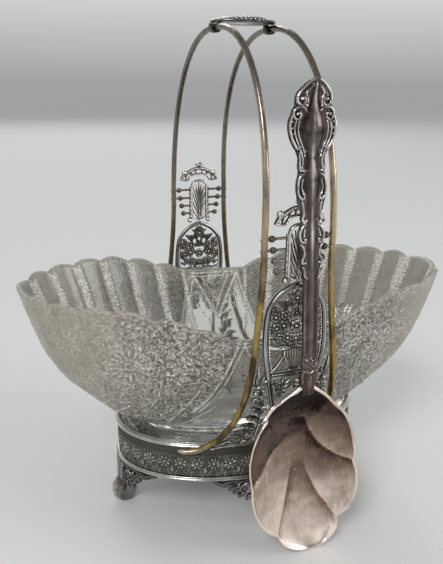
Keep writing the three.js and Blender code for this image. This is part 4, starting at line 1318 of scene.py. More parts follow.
class BASKET_OT_side_panels(bpy.types.Operator):
    """Build the openwork castings between the wires, at the front and the back"""

    bl_idname = "basket.side_panels"
    bl_label = "Side panels"

    def execute(self, context):
        whole = {"arch_frame": arch_frame(), "flower_screen": flower_screen(), "fan": urn_stand(),
                 "palmettes": palmette_bar(), "crest": hoop_crest(), "roof": roof_scroll()}
        spray = vine_spray()
        rack = peg_rack()
        for face, side in (("front", -1), ("back", 1)):
            place = on_sheet(side)
            for stem, field in whole.items():
                shell = Shell()
                field.casting(shell, place, core=0.2 if stem == "roof" else 0.1)
                if stem == "roof":
                    for x in (-knob_x, knob_x):
                        shell.ball(place(row(x), row(knob_z), 0)[0], 1.9, 20, relief=0.85)
                look = "frame" if stem == "arch_frame" else "cast"
                shell.build(f"{stem}_{face}_cast", finish(look), replaces=[f"{stem}_{face}"])
            for hand, x_side in (("left", -1), ("right", 1)):
                place = on_sheet(side, x_side)
                shell = Shell()
                spray.casting(shell, place)
                shell.build(f"vine_{face}_{hand}_cast", finish("cast"), replaces=[f"vine_{face}_{hand}"])
                shell = Shell()
                rack.casting(shell, place, back=1.0, core=0.0)
                peg_balls(shell, place)
                node = f"peg_rack_{face}_{hand}"
                shell.build(node + "_cast", finish("cast"), replaces=[node])
            finial_shell(side).build(f"finial_{face}_turned", finish("cast"), replaces=[f"finial_{face}"])
        return {"FINISHED"}


# the glass bowl

def bowl_angles():
    """Angles round the bowl, closer together near the cusps between scallops, with the place
    in its scallop from 0 to 1 and whether it is the lowered part under a handle."""
    half_turn = quarter_cusps + [180 - cusp for cusp in reversed(quarter_cusps)]
    cusps = half_turn + [cusp + 180 for cusp in half_turn]
    angle = []
    share = []
    notch = []
    for start, end in zip(cusps, cusps[1:] + [cusps[0] + 360]):
        middle = (start + end) / 2 % 180
        lowered = abs(middle - 90) < 5
        tip = middle < 5 or middle > 175
        count = 60 if lowered else 44 if tip else 26
        t = np.arange(count) / count
        if not lowered:
            t = t - 0.09 * np.sin(2 * math.pi * t)
        angle.append(np.radians(start + (end - start) * t))
        share.append(t)
        notch.append(np.full(count, lowered))
    return np.concatenate(angle), np.concatenate(share), np.concatenate(notch)


def rim_height(angle, share, notch):
    """Height of the rim, and how far out each scallop swells."""
    u = fade(np.abs(bowl_length * np.cos(angle)), bowl_notch_half, ramp_end_x)
    level = bowl_rim_z - (bowl_rim_z - bowl_notch_z) * (1 - u) ** 1.6
    hump = np.where(notch, 0, np.sin(math.pi * share) ** 0.8)
    wave = np.where(notch, 0, 2.6 * (hump - 0.5))
    return level + np.where(u == 0, 0.3, 1.0) * wave, hump


# the bowl's section: half length, half width, height, and how much of the scallops shows there
bowl_foot_rows = [
    (53.0, 22.0, 49.4, 0), (53.6, 22.3, 47.4, 0), (54.6, 23.0, 46.4, 0), (56.2, 24.4, bowl_foot_z, 0),
    (57.6, 25.7, 46.6, 0), (58.4, 26.5, 48.0, 0), (59.2, 27.4, 50.4, 0),
]
bowl_wall_rows = [
    (60.6, 28.4, 52.2, 0), (64.0, 29.6, 52.6, 0), (68.5, 31.4, 53.6, 0), (73.5, 33.8, 56.4, 0),
    (80.4, 37.6, 62.3, 0.1), (87, 41.4, 68.5, 0.2), (94.2, 45.3, 75.2, 0.3), (100.6, 49.0, 82, 0.4),
    (105.3, 52.2, 89.3, 0.5), (109.4, 55.2, 97, 0.6), (113.2, 58.1, 107, 0.75), (116.4, 60.8, 117, 0.9),
    (118.8, 62.9, 125, 0.95), (bowl_length - 0.1, bowl_width - 0.1, 130.8, 1),
    (bowl_length, bowl_width, 131.6, 1), (120.3, 64.2, 132.0, 1), (119.8, 63.7, bowl_rim_z, 1),
    (119.1, 63.0, 132.15, 1), (118.3, 62.2, 131.7, 1),
    (117.2, 61.1, 130.8, 1), (115.2, 59.4, 125, 0.95), (112.0, 56.6, 117, 0.9), (108.8, 54.0, 107, 0.75),
    (105.0, 51.0, 97.6, 0.6), (100.6, 47.6, 90, 0.5), (95, 43.8, 82.5, 0.4), (87, 39.2, 74.4, 0.2),
    (78, 34.2, 68, 0.1), (67, 29, 63.4, 0), (56, 23.8, 61.0, 0), (44, 18.6, 59.9, 0), (30, 12.6, 59.2, 0),
    (12, 5.0, 58.9, 0),
]

# half the width of the plain saddle under the handles at each height
saddle_z = row(68, 80, 95, 106, 116.4)
saddle_x = row(35.0, 28.2, 22.8, 19.8, 17.2)

# daisies as x, z, radius, petals and height, leaves as base, tip and half width, beaded lines,
# and single beads in the saddle
glass_daisies = [(68, 101, 10.5, 18, 0.9), (97, 111, 6.5, 12, 0.6), (90, 88, 6.5, 12, 0.6),
                 (44, 104, 5.5, 10, 0.7), (61, 76, 5.5, 11, 0.7)]
glass_leaves = [((55, 92), (47, 82), 2.2), ((56, 108), (52, 116), 2.0), ((80, 106), (88, 101), 2.0),
                ((66, 88), (70, 82), 1.8), ((76, 112), (72, 118), 1.8), ((38, 108), (30, 112), 1.8),
                ((56, 74), (50, 66), 1.8), ((74, 82), (80, 78), 1.6)]
glass_lines = [[(48.2, 121.0), (45.2, 114.7), (39.8, 105.7), (35, 98)],
               [(52.7, 93.1), (53.6, 82.1), (57.2, 70.5)],
               [(33.5, 85.8), (38.6, 74.0), (46, 59.8)], [(68, 70), (72, 64), (74, 58)],
               [(24, 72), (32, 63), (40, 56)]]
saddle_beads = [(12.2, 106.8), (10.2, 102.0), (7.6, 97.4), (5.0, 92.6), (2.2, 108.8), (5.4, 111.2),
                (0.4, 104.4), (13.6, 100.0), (12.0, 94.4), (9.0, 89.6), (5.2, 85.6)]


def stipple(field):
    """Short bent ridges scattered over the glass outside the saddle, fainter towards the tips."""
    chance = np.random.default_rng(11)
    for _ in range(1500):
        spot = chance.uniform((16, 56), (112, 127))
        x, z = spot
        if x > np.interp(z, saddle_z, saddle_x) + 2:
            turn = chance.uniform(0, math.pi)
            reach = chance.uniform(0.8, 1.8) * row(math.cos(turn), math.sin(turn))
            bend = chance.uniform(-0.5, 0.5) * row(-reach[1], reach[0])
            height = chance.uniform(0.3, 0.75) * (1 if x < 84 else 0.55)
            field.stroke([spot - reach, spot + bend, spot + reach], 0.36, height)


def daisy(field, x, z, radius, petals, height):
    """Narrow petals round a ring, inside a circle of small beads."""
    middle = row(x, z)
    for angle in turns(petals) + 0.6 * math.pi / petals:
        away = row(math.cos(angle), math.sin(angle)) * radius
        field.stroke([middle + away * 0.36, middle + away * 0.9], row(0.35, radius * 1.35 / petals), height)
    field.ring(x, z, radius * 0.22, 0.5, height * 0.8)
    turn = turns(2 * petals)
    edge = np.column_stack([x + radius * 1.12 * np.cos(turn), z + radius * 1.12 * np.sin(turn)])
    field.discs(edge, 0.5, height * 0.8)


def bowl_field():
    """Pressed pattern on the outside, over distance from the middle and height, same on each end."""
    field = Relief((-1, 122), (50, 134), 0.25)
    stipple(field)
    for flower in glass_daisies:
        daisy(field, *flower)
    for base, tip, half in glass_leaves:
        field.leaf(base, tip, half, 0.8, bend=0.12)
    for points in glass_lines:
        line = smooth_path(points, 1.7)
        field.stroke(line, 0.4125, 0.91)
        field.discs(line, 0.75, 1.3)
    for inset, half in ((0.0, 0.75), (2.9, 0.55)):
        field.curve(np.column_stack([saddle_x - inset, saddle_z])[::-1], half, 1.5, power=0.6)
    for low in (0.0, 1.9):
        field.curve([(0, 115.4 - low), (8, 115.5 - low), (16.4, 115.9 - low)], 0.55, 1.3)
    for z in np.arange(64, 113, 1.7):
        field.disc(np.interp(z, saddle_z, saddle_x) - 5.0, z, 0.5, 0.6)
    field.curve([(14.6, 114.2), (8.4, 103.6), (3.4, 94.0), (0, 88.7)], 0.75, 1.5)
    field.curve([(9.0, 113.4), (4.2, 105.0), (0, 98.0)], 0.5, 1.0)
    field.discs(saddle_beads, 0.8, 0.8)
    return field


def bead_columns(angle, share, from_rim):
    """Slanting beads in columns along the cusps, from 0 to 1, wider apart at the bowl's ends."""
    width = np.interp(np.abs(np.cos(angle)), [0, 1], [0.58, 0.95])
    across = np.minimum(share, 1 - share) * 4.4 / width
    slant = across * np.sign(0.5 - share) * 2.6
    uneven = 0.7 + 0.3 * np.sin(from_rim * 2.9 + np.floor(share + 0.5) * 4.1)
    pulse = 0.3 + 0.7 * uneven * np.abs(np.sin(from_rim * math.pi / 2.3 + slant)) ** 0.7
    return np.sqrt(np.clip(1 - across ** 2, 0, 1)) * pulse * fade(from_rim, 37, 34) * fade(from_rim, 0, 1.5)


class BASKET_OT_bowl(bpy.types.Operator):
    """Build the pressed-glass bowl with its scalloped rim, flutes and beads"""

    bl_idname = "basket.bowl"
    bl_label = "Glass bowl"

    def execute(self, context):
        angle, share, notch = bowl_angles()
        rim_z, hump = rim_height(angle, share, notch)
        profile = np.vstack([smooth_path(bowl_foot_rows, 0.6)[:-1], smooth_path(bowl_wall_rows, 0.75)])
        a, b, z0, lobe = (column[:, None] for column in profile.T)
        inside = (np.arange(len(profile)) > np.argmax(profile[:, 2]))[:, None]
        outside = ~inside & (z0 > 53)

        # the plain wall, stretched to the rim's height and swelling in each scallop
        stretched = stretch_from + (rim_z - stretch_from) * fade(z0, stretch_from, bowl_rim_z)
        z = np.where(z0 <= stretch_from, z0, stretched)
        swell = 1 + 0.011 * lobe * (hump - 0.3)
        x = a * swell * np.cos(angle)

        # what stands out of it: the pattern outside, flutes and beads inside
        field = bowl_field()
        pattern = field.sample(np.abs(x), z) / field.height.max()
        crest = field.sample(np.abs(x), z, field.rubbed(1.0))
        wall = fade(z0, 53, 59) * fade(z0, 130.6, 127.6)
        off_middle = (2 * share - 1) ** 2
        flute = np.where(notch, 0, np.sqrt(np.clip(1 - off_middle, 0, 1))) * fade(z - 4 * off_middle, 90, 96)
        beads = bead_columns(angle, share, rim_z - z) * (1 - notch)
        depth = context.scene.basket_sizes.glass_relief / MM
        push = outside * wall * pattern * depth
        push += inside * (wall * (1 - flute) + beads) * 0.9
        x, y = oval_point(angle, np.where(inside, -1, 1) * push, a * swell, b * swell)

        # how frosted the glass looks, and the highlights painted on its ridges, beads, lines and rim
        within = fade(np.interp(z, saddle_z, saddle_x) - np.abs(x), 0, 1.5)
        saddle = within * outside
        lines = np.clip(pattern * 1.9 - 0.25, 0, 1)
        through = within * lines * inside
        stippled = 0.3 * fade(z - 0.4 * np.abs(x), 92, 100) * fade(z, 112, 109)
        at_rim = np.clip(1 - np.abs(z - rim_z) / 2.2, 0, 1)
        frost = np.where(outside, 0.9, 0.06 + 0.94 * np.clip(beads * 1.8, 0, 1))
        frost = frost * (1 - saddle) + saddle * np.maximum(0.04 + stippled, lines)
        frost = np.maximum(frost, 0.8 * through)
        frost = (frost * (1 - at_rim) + at_rim * 0.45) * fade(z, 54, 59)
        towards_tip = fade(np.abs(x), 80, 92)
        # painted highlights: on the beads inside, the pattern's crests outside, the saddle's lines and the
        # rim
        raised = np.where(inside, np.clip(beads * 2.2 - 0.3, 0, 1),
                          np.clip(crest * 1.9 - 0.65, 0, 1) * (1 - 0.35 * towards_tip))
        raised = np.maximum(np.maximum(raised, saddle * lines + through), at_rim * 0.6)

        c = math.cos(bowl_turn)
        s = math.sin(bowl_turn)
        shell = Shell()
        shell.grid(np.stack([x * c - y * s, x * s + y * c, z], -1), relief=raised, caps=True)
        shell.build("bowl_pressed_glass", finish("glass"), body="bowl", slot="clear_glass",
                    replaces=["glass_bowl"], extra={"frost": np.append(frost.ravel(), [0, 0])})
        return {"FINISHED"}


# the spoon

def spoon_x(z):
    """How far right the spoon's middle stands at a height."""
    return np.interp(z, [0, 50, 90, 105, 150, 205, 220, 230, spoon_top_z],
                     [5.4, 4.4, 3.6, 3.9, 3.4, 2.2, 2.3, 2.7, 4.2])


def spoon_y(z):
    """How far forward or back the spoon's middle stands at a height."""
    return np.interp(z, [0, 14, 34, 97, 130, 186, spoon_top_z],
                     [-77.9, -78.8, -79.7, -80.5, -79.6, -76.4, -73.8])


# the shell bowl's rim as lobes, each from one notch to the next, as (x, z) seen from the front
spoon_lobes = [
    [(-0.6, 98.0), (-2.6, 96.4), (-6.7, 93.7), (-10.3, 90.9)],
    [(-10.3, 90.9), (-13.2, 90.3), (-15.3, 88.9), (-17.2, 85.6), (-16.3, 81.9)],
    [(-16.3, 81.9), (-20.2, 77.3), (-23.2, 70.4), (-24.6, 63.6), (-25.1, 58.1), (-24.6, 52.4), (-23.2, 45.2)],
    [(-23.2, 45.2), (-23.0, 37.4), (-21.2, 30.0), (-18.6, 24.1), (-15.0, 18.7), (-10.9, 14.9), (-7.6, 12.6)],
    [(-7.6, 12.6), (-6.0, 9.3), (-2.9, 5.6), (1.5, 2.7), (5.8, 0.9), (10.9, 0.2), (16.0, 0.5), (20.1, 2.1),
     (23.4, 5.0), (25.9, 9.0), (26.9, 13.0), (26.8, 16.4)],
    [(26.8, 16.4), (30.7, 19.4), (34.0, 24.0), (36.0, 30.3), (36.6, 37.3), (35.8, 44.4), (34.0, 49.8)],
    [(34.0, 49.8), (34.0, 55.5), (32.5, 62.8), (29.9, 71.9), (25.5, 80.1), (19.7, 86.1), (15.0, 91.3),
     (10.4, 95.0), (6.4, 98.0)],
]
# the creases between lobes, each with its strength and the side that is raised (1 is to the line's left)
spoon_creases = [
    ([(4.4, 86.0), (5.3, 80.7), (7.3, 75.1), (11.2, 67.0), (17.2, 58.6), (25.3, 52.4), (34.0, 49.8)], 1.0, 1),
    ([(8.6, 53.6), (9.0, 49.9), (10.7, 44.2), (13.8, 37.2), (16.9, 30.4), (21.8, 23.0),
      (26.8, 16.4)], 1.0, 1),
    ([(-2.4, 68.0), (-5.9, 63.8), (-10.2, 59.4), (-14.2, 53.6), (-17.8, 49.0), (-23.2, 45.2)], 0.7, 1),
    ([(2.6, 54.3), (1.8, 45.5), (1.3, 39.8), (-0.2, 32.0), (-2.2, 24.9), (-5.0, 17.6),
      (-7.6, 12.6)], 0.8, -1),
]


def crease(spots, line, strength, raised):
    """How much one crease lifts each spot, and the light and shade painted there: a swelling with a painted
    highlight on its raised side, a hollow with painted shade on the other."""
    fine = smooth_path(line, 1.0)
    ahead = np.gradient(fine, axis=0)
    gap = np.linalg.norm(spots[:, :, None, :] - fine, axis=-1)
    nearest = gap.argmin(-1)
    distance = gap.min(-1)
    offset = spots - fine[nearest]
    side = np.sign(ahead[nearest][..., 0] * offset[..., 1] - ahead[nearest][..., 1] * offset[..., 0])
    strong = np.clip(np.linspace(0, 1, len(fine))[nearest] * 2.6, 0, 1) * strength
    over = np.exp(-distance / 9.0) * (1 - np.exp(-distance / 2.4)) * 2.4
    under = -np.exp(-distance / 6.0) * (1 - np.exp(-distance / 1.2)) * 1.1
    # painted highlight beside the crease on its raised side, painted shade on the other
    bright = 0.22 * np.exp(-distance / 2.5)
    dark = -0.34 * np.exp(-distance / 4.5)
    above = side * raised > 0
    return strong * np.where(above, over, under), strong * np.where(above, bright, dark)


def spoon_bowl_shell(shell):
    """The spoon's shell bowl: a lobed rim, and overlapping lobes between creases that fan out."""
    middle = row(5.0, 45.0)
    depth = 10.5
    thickness = 1.1
    rim = np.vstack([smooth_path(lobe, 0.8)[:-1] for lobe in spoon_lobes])
    shares = np.concatenate([np.linspace(0.02, 0.9, 56), np.linspace(0.912, 1, 10)])
    spots = middle + (rim - middle) * shares[:, None, None]
    lift = np.zeros(spots.shape[:2])
    shade = np.zeros(spots.shape[:2])
    # each crease's lift, and the highlight and shade painted beside it
    for line in spoon_creases:
        lifted, shaded = crease(spots, *line)
        lift += lifted
        shade += shaded

    # the depth follows the rim with its notches smoothed out
    reach = np.linalg.norm(rim - middle, axis=1)
    window = 14
    wrapped = np.concatenate([reach[-window:], reach, reach[:window]])
    calm_reach = np.convolve(wrapped, np.ones(2 * window + 1) / (2 * window + 1), "valid")
    inward = np.clip(shares[:, None] * reach / calm_reach, 0, 1)
    calm = (1 - shares ** 10)[:, None]
    rolled_edge = bell(shares, 0.975, 0.016)[:, None] * 0.35
    y = spoon_y(spots[..., 1]) + depth * (1 - inward ** 2) ** 0.8 - lift * 1.25 * calm - rolled_edge
    front = np.stack([spots[..., 0], y, spots[..., 1]], -1)
    back = front[::-1] + row(0, thickness, 0)
    away = (rim - middle) / reach[:, None]
    edge = front[-1:] + np.stack([away[:, 0] * 0.2, np.full(len(rim), thickness / 2), np.zeros(len(rim))], -1)
    rings = np.concatenate([front, edge, back])
    # painted light: lighter towards the bowl's bottom, darker near the neck, brighter on the lifted lobes;
    # the rim is rubbed bright
    wear_and_painted_light = np.clip(1.02 - rings[..., 2] / 88, 0.0, 1)
    wear_and_painted_light[:len(shares)] += lift * 0.06 + shade
    wear_and_painted_light[len(shares) - 4:len(shares) + 3] = 0.95
    shell.grid(rings, relief=np.clip(wear_and_painted_light, 0, 1), caps=True)


# half the handle's width at each height
spoon_body = [
    (94, 3.0), (99, 3.6), (104, 4.5), (108, 4.9), (111.5, 4.4), (114, 4.1), (120, 4.2), (132, 4.2),
    (144, 4.3), (152, 4.3), (156, 5.2), (160, 5.6), (163.5, 4.9), (166.5, 6.2), (171, 6.8), (175, 5.4),
    (179, 4.8), (183, 6.0), (187, 7.1), (192, 7.3), (197, 6.8), (201, 6.3), (204.5, 6.5), (208, 7.9),
    (211, 9.7), (214, 10.8), (217.5, 11.8), (220.5, 11.6), (223.5, 10.3), (226.5, 9.0), (230, 9.0),
    (232.5, 7.7), (235, 5.2), (237, 2.9), (238.3, 1.2),
]
# half the bulbs' width along the handle's middle, and how strong a highlight is painted on their ridge
spoon_bulbs = row([152, 2.6], [158, 2.3], [164, 2.5], [171, 2.9], [176, 2.7], [181, 2.5], [186, 2.8],
                  [191, 3.5], [195.5, 4.0], [200.5, 3.1], [204.5, 2.6], [208, 3.3], [212.5, 4.9],
                  [217, 5.9], [221, 5.0], [225, 3.3], [228, 2.4], [231, 1.9], [234, 1.5], [237, 0.9])
spoon_ridge_highlight = row([110, 0.1], [150, 0.15], [165, 0.35], [172, 0.6], [178, 0.35], [185, 0.2], [196, 0.5],
                  [204, 0.65], [212, 0.25], [219, 0.2], [228, 0.65], [236, 0.4])
# the bands that edge the handle on its left, each with half its width
spoon_bands = [
    ([(-1.0, 237.4), (-3.4, 236.0), (-6.2, 233.4), (-7.9, 230.6), (-7.7, 227.9), (-5.7, 226.7), (-4.2, 228.0),
      (-4.9, 229.8), (-6.0, 229.4)], 0.95),
    ([(-0.8, 235.0), (-2.8, 233.6), (-4.1, 231.4), (-3.3, 228.8), (-3.6, 226.6)], 0.8),
    ([(-3.2, 223.8), (-4.8, 225.8), (-7.4, 226.0), (-9.3, 224.4), (-9.3, 222.0), (-7.5, 220.9), (-6.1, 222.2),
      (-6.8, 223.7), (-7.8, 223.2)], 0.9),
    ([(-9.8, 222.8), (-10.7, 220.0), (-10.8, 216.8), (-9.9, 213.2), (-8.6, 210.6), (-7.2, 208.8),
      (-6.2, 209.6)], 0.9),
    ([(-8.2, 220.0), (-8.9, 217.0), (-8.2, 213.4), (-6.6, 209.8), (-5.3, 206.6), (-4.7, 203.2),
      (-5.2, 200.6)], 0.8),
    ([(-6.7, 220.2), (-7.2, 216.8), (-6.4, 212.8), (-4.8, 209.2), (-3.8, 205.6)], 0.5),
    ([(-6.1, 207.0), (-5.9, 204.0), (-6.0, 201.4), (-5.6, 199.4), (-4.4, 199.6)], 0.7),
    ([(-4.6, 198.0), (-6.1, 196.4), (-6.7, 192.6), (-6.3, 188.9), (-4.7, 187.0), (-3.6, 188.3),
      (-4.4, 189.6)], 0.85),
    ([(-4.6, 195.6), (-5.2, 192.4), (-4.5, 190.0)], 0.5),
    ([(-4.7, 186.0), (-4.2, 183.4), (-4.0, 180.6), (-4.6, 178.2), (-3.8, 176.8)], 0.8),
    ([(-3.2, 176.2), (-4.9, 174.4), (-5.9, 171.4), (-5.2, 168.4), (-3.7, 167.8), (-3.4, 169.2)], 0.85),
    ([(-3.6, 173.6), (-4.1, 170.8)], 0.45),
    ([(-5.3, 167.0), (-4.0, 165.0), (-3.7, 162.4), (-4.7, 160.2), (-4.7, 158.4), (-3.6, 158.6)], 0.8),
    ([(-4.4, 156.8), (-3.6, 154.6), (-3.7, 152.6), (-2.6, 151.4)], 0.75),
]


def spoon_handle_field():
    """The spoon's handle over distance from its own middle line and z."""
    field = Relief((-14, 14), (92, 239.5), 0.2)
    field.column(spoon_body, 1.25)
    bulbs = spoon_bulbs[::-1]
    field.curve([(0, z) for z, half in bulbs], bulbs[:, 1], 2.7)
    for points, half in spoon_bands:
        for _ in field.both_sides():
            field.curve(points, np.linspace(0.8, 1.05, len(points)) * half, 2.1)
            field.disc(*points[-1], half * 1.2, 2.3)
    field.curve([(0, 152), (0, 132), (0, 113)], [1.9, 2.1, 1.7], 1.9)
    for _ in field.both_sides():
        field.curve([(3.0, 151), (3.2, 132), (3.0, 114.5)], [0.7, 0.85, 0.7], 1.7)
        field.scroll(2.5, 109.4, 2.4, 1.2, 90, 0.8, 2.0)
        field.curve([(0.6, 104.8), (2.6, 106.2), (4.0, 104.2), (3.4, 100.4)], 0.8, 1.9)
        for z, x in ((207.4, 5.0), (198.6, 4.8), (186.8, 4.8), (176.8, 4.2), (167.4, 4.2)):
            field.leaf((x * 0.4, z + 1.6), (x, z - 1.4), 0.7, 1.9)
        for z in (219.0, 216.4, 213.8):
            field.leaf((9.6, z + 1.4), (11.6 - abs(z - 218) * 0.25, z), 0.6, 1.9, vein=False)
        field.leaf((0, 233.4), (2.4, 236.8), 0.8, 2.2)
    field.leaf((0, 232.4), (0, 238.2), 1.0, 2.4)
    field.leaf((0, 103.0), (0, 96.0), 2.2, 1.9)
    field.disc(0, 112.4, 1.6, 2.1)
    return field


class BASKET_OT_spoon(bpy.types.Operator):
    """Build the serving spoon with its shell bowl and scrolled handle"""

    bl_idname = "basket.spoon"
    bl_label = "Spoon"

    def execute(self, context):
        shell = Shell()
        spoon_bowl_shell(shell)
        spoon_handle_field().casting(
            shell, lambda dx, z, out: np.column_stack([spoon_x(z) + dx, spoon_y(z) - out, z]), 0.85, 0.7)
        for part in (1, 2):
            x, z = shell.points[part].T[[0, 2]]
            aside = np.abs(x - spoon_x(z))
            half = np.interp(z, *spoon_bulbs.T)
            edges = np.interp(z, [95, 112, 150, 165, 238], [0.5, 0.75, 0.75, 0.92, 1.0])
            body = np.interp(z, [95, 112, 150, 165, 238], [0.4, 0.66, 0.62, 0.42, 0.45])
            # a highlight painted down the middle of the bulbs, its strength set for each height
            ridge = bell(aside, 0, half * 0.3) * np.interp(z, *spoon_ridge_highlight.T)
            share = fade(aside - half, -0.4, 0.4)
            shell.relief[part] = shell.relief[part] * (body + (edges - body) * share) + ridge * (1 - share)
        upper = fade(np.vstack(shell.points)[:, 2], 96, 110)
        shell.build("spoon_shell", finish("spoon"), body="spoon", slot="spoon_silver", replaces=["spoon"],
                    extra={"upper": upper})
        return {"FINISHED"}


# the stage

camera_place = row(-131.8, -321.2, 234.8)
camera_yaw = -0.36135
camera_pitch = -0.29880
camera_roll = 0.00841
focal_pixels = 640
photo_width = 443
photo_height = 564
middle_pixel = (224.27, 281.63)


def lay_floor():
    """A wide flat floor under the spoon's tip and the feet."""
    reach = 9.0
    corners = [(-reach, -reach, 0), (reach, -reach, 0), (reach, reach, 0), (-reach, reach, 0)]
    mesh = bpy.data.meshes.new("floor")
    mesh.from_pydata(corners, [], [(0, 1, 2, 3)])
    mesh.materials.append(finish("floor"))
    floor_piece = bpy.data.objects.new("floor", mesh)
    bpy.context.scene.collection.objects.link(floor_piece)


def light_world():
    """Soft bands of light and shade round the object, behind a pale grey backdrop."""
    world = bpy.data.worlds.new("studio")
    bpy.context.scene.world = world
    world.use_nodes = True
    world.node_tree.nodes.clear()
    Value.tree = world.node_tree
    direction = Value.node("ShaderNodeTexCoord", output="Generated")
    height = Value.node("ShaderNodeSeparateXYZ", inputs={0: direction}, output=2)
    sideways = Value.node("ShaderNodeSeparateXYZ", inputs={0: direction})
    shade = height.stops((0.0, (0.98, 0.98, 0.97)), (0.25, (0.86, 0.86, 0.86)), (0.6, (0.40, 0.41, 0.43)),
                         (1.0, (0.62, 0.63, 0.65)))
    bands = (sideways * 0.5 + 0.5).stops((0.0, 0.7), (0.2, 1.0), (0.36, 0.35), (0.5, 0.95), (0.68, 0.4),
                                         (0.85, 1.0))
    shade = colour_mix(1.0, shade, bands, "MULTIPLY")
    backdrop = height.stops((0.0, (0.353, 0.357, 0.362)), (0.16, (0.74, 0.74, 0.735)))
    around = Value.node("ShaderNodeBackground", inputs={"Color": shade, "Strength": 1.0})
    seen = Value.node("ShaderNodeBackground", inputs={"Color": backdrop, "Strength": 1.0})
    to_camera = Value.node("ShaderNodeLightPath", output="Is Camera Ray")
    Value.node("ShaderNodeMixShader", inputs={0: to_camera, 1: around, 2: seen}).surface("World")


def area_lamp(name, spot, size, power):
    """A rectangular lamp that faces the basket's middle, with its place and size in metres."""
    lamp = bpy.data.lights.new(name, "AREA")
    lamp.shape = "RECTANGLE"
    lamp.size, lamp.size_y = size
    lamp.energy = power
    holder = bpy.data.objects.new(name, lamp)
    bpy.context.scene.collection.objects.link(holder)
    holder.location = spot
    holder.rotation_euler = (Vector((0, 0, 0.13)) - Vector(spot)).to_track_quat("-Z", "Y").to_euler()


def place_camera():
    """The camera that the photo was taken with, as fitted to the object's ovals."""
    lens = bpy.data.cameras.new("camera")
    lens.sensor_fit = "VERTICAL"
    lens.sensor_height = 36
    lens.lens = focal_pixels * lens.sensor_height / photo_height
    lens.shift_x = (photo_width / 2 - middle_pixel[0]) / photo_height
    lens.shift_y = (middle_pixel[1] - photo_height / 2) / photo_height
    lens.clip_start = 0.01
    ahead = Vector((-math.sin(camera_yaw) * math.cos(camera_pitch),
                    math.cos(camera_yaw) * math.cos(camera_pitch), math.sin(camera_pitch)))
    right = Vector((math.cos(camera_yaw), math.sin(camera_yaw), 0))
    up = right.cross(ahead)
    rolled_right = right * math.cos(camera_roll) + up * math.sin(camera_roll)
    rolled_up = up * math.cos(camera_roll) - right * math.sin(camera_roll)
    turn = Matrix((rolled_right, rolled_up, -ahead)).transposed().to_4x4()
    camera = bpy.data.objects.new("camera", lens)
    bpy.context.scene.collection.objects.link(camera)
    camera.matrix_world = Matrix.Translation(Vector(camera_place * MM)) @ turn
    bpy.context.scene.camera = camera


class BASKET_OT_stage(bpy.types.Operator):
    """Build the floor, the lamps and the camera"""

    bl_idname = "basket.stage"
    bl_label = "Stage"

    def execute(self, context):
        context.scene.view_settings.view_transform = "Standard"
        lay_floor()
        light_world()
        area_lamp("key_window", (-1.3, -1.5, 1.9), (0.8, 0.8), 26)
        area_lamp("fill_right", (1.6, -1.2, 0.9), (0.8, 1.2), 12)
        area_lamp("back_rim", (0.35, 3.2, 2.2), (2.4, 1.2), 27)
        place_camera()
        return {"FINISHED"}


# settings, panel and registration

def colour_setting(name, description, default):
    """A colour that a user can change."""
    return FloatVectorProperty(name=name, description=description, subtype="COLOR", size=3, min=0, max=1,
                               default=default)


def size_setting(name, description, default, low, high):
    """A length given in millimetres and kept in metres."""
    return FloatProperty(name=name, description=description, unit="LENGTH", default=default * MM,
                         min=low * MM, max=high * MM, precision=5)


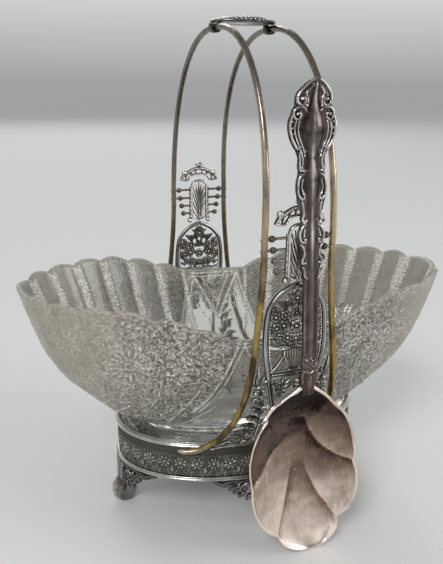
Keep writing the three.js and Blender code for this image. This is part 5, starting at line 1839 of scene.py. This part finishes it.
class BasketColours(bpy.types.PropertyGroup):
    band_hollow: colour_setting("Band hollows", "Tarnish in the frieze", (0.085, 0.083, 0.07))
    band_mid: colour_setting("Band metal", "Pewter grey of the band", (0.21, 0.21, 0.19))
    band_light: colour_setting("Band peaks", "Rubbed tips of the frieze", (0.60, 0.59, 0.54))
    cast_hollow: colour_setting("Casting hollows", "Tarnish in the castings", (0.03, 0.028, 0.026))
    cast_mid: colour_setting("Casting metal", "Dark silver of the castings", (0.125, 0.115, 0.092))
    # also the highlight painted down the spoon handle's bulbs
    cast_light: colour_setting("Casting peaks", "Rubbed tips of the castings", (0.86, 0.84, 0.80))
    frame_mid: colour_setting("Arch metal", "Steel grey of the arch and the feet", (0.13, 0.13, 0.125))
    # also the highlight painted on the feet's toes
    frame_light: colour_setting("Rubbed arch metal", "Rubbed edges of the arch and the feet",
                                (0.50, 0.50, 0.49))
    top_mid: colour_setting("Medallion metal", "Blue-grey silver on top", (0.075, 0.08, 0.085))
    tarnish: colour_setting("Tarnish", "Brown-gold stains on old silver", (0.17, 0.125, 0.07))
    wire_dark: colour_setting("Wire specks", "Dark spots on the wires", (0.07, 0.055, 0.03))
    wire_gilt: colour_setting("Wire gilt", "Gold of the wires' lower legs", (0.42, 0.30, 0.09))
    # painted shade on the wires' tops and backs
    wire_painted_shade: colour_setting("Dull wire", "Grey-brown of the wires at the top and back",
                              (0.13, 0.115, 0.098))
    wire_brown: colour_setting("Wire brown", "Brown of the wires' tops", (0.30, 0.23, 0.165))
    wire_grey: colour_setting("Wire grey", "Grey of the wires' tops", (0.66, 0.59, 0.49))
    dish_light: colour_setting("Dish", "Polished dish", (0.66, 0.66, 0.64))
    dish_dark: colour_setting("Dish bloom", "Duller patches of the dish", (0.52, 0.52, 0.50))
    glass_clear: colour_setting("Clear glass", "Fire-polished glass", (0.87, 0.865, 0.835))
    glass_frost: colour_setting("Frosted glass", "Stippled glass", (0.52, 0.47, 0.365))
    # also the highlights painted on the glass's ridges, beads and crackle lines
    glass_bright: colour_setting("Glass ridges", "Bright ridges in the frosting", (0.98, 0.95, 0.86))
    glass_shade: colour_setting("Glass grooves", "Shade in the frosting's grooves", (0.045, 0.042, 0.035))
    # also the shade painted near the neck of the spoon's bowl and beside its creases
    spoon_hollow: colour_setting("Spoon hollows", "Tarnish in the spoon's scrolls", (0.016, 0.010, 0.009))
    spoon_mid: colour_setting("Spoon metal", "Pink-brown silver", (0.34, 0.245, 0.195))
    spoon_grey: colour_setting("Handle metal", "Purple-grey silver of the handle", (0.165, 0.14, 0.132))
    # also the light painted low on the spoon's bowl and the highlights beside its creases
    spoon_light: colour_setting("Spoon peaks", "Rubbed edges of the spoon", (0.99, 0.85, 0.75))
    spoon_stain: colour_setting("Spoon stains", "Darker tarnish on the spoon", (0.15, 0.09, 0.075))
    floor: colour_setting("Floor", "Pale studio floor", (0.80, 0.80, 0.79))


class BasketSizes(bpy.types.PropertyGroup):
    wire_radius: size_setting("Wire radius", "Radius of the handles' wire", 1.55, 0.5, 3)
    frieze_depth: size_setting("Frieze depth", "Depth of the band's rolled ornament", 0.75, 0, 2)
    glass_relief: size_setting("Glass relief", "Height of the pattern pressed in the glass", 1.2, 0, 2)


operators = (BASKET_OT_band, BASKET_OT_mouldings, BASKET_OT_dish, BASKET_OT_feet, BASKET_OT_handles,
             BASKET_OT_medallion, BASKET_OT_side_panels, BASKET_OT_bowl, BASKET_OT_spoon, BASKET_OT_stage)


class BASKET_PT_panel(bpy.types.Panel):
    """Lists the basket's pieces"""

    bl_idname = "BASKET_PT_panel"
    bl_label = "Brides Basket"
    bl_space_type = "VIEW_3D"
    bl_region_type = "UI"
    bl_category = "Basket"

    def draw(self, context):
        layout = self.layout
        for settings in (context.scene.basket_sizes, context.scene.basket_colours):
            for name in settings.__annotations__:
                layout.prop(settings, name)
        for operator in operators:
            layout.operator(operator.bl_idname)


classes = (BasketColours, BasketSizes) + operators + (BASKET_PT_panel,)


def register():
    for item in classes:
        bpy.utils.register_class(item)
    bpy.types.Scene.basket_colours = PointerProperty(type=BasketColours)
    bpy.types.Scene.basket_sizes = PointerProperty(type=BasketSizes)


def unregister():
    del bpy.types.Scene.basket_sizes
    del bpy.types.Scene.basket_colours
    for item in reversed(classes):
        bpy.utils.unregister_class(item)


def main():
    register()
    for operator in operators:
        group, name = operator.bl_idname.split(".")
        getattr(getattr(bpy.ops, group), name)()


if __name__ == "__main__":
    main()
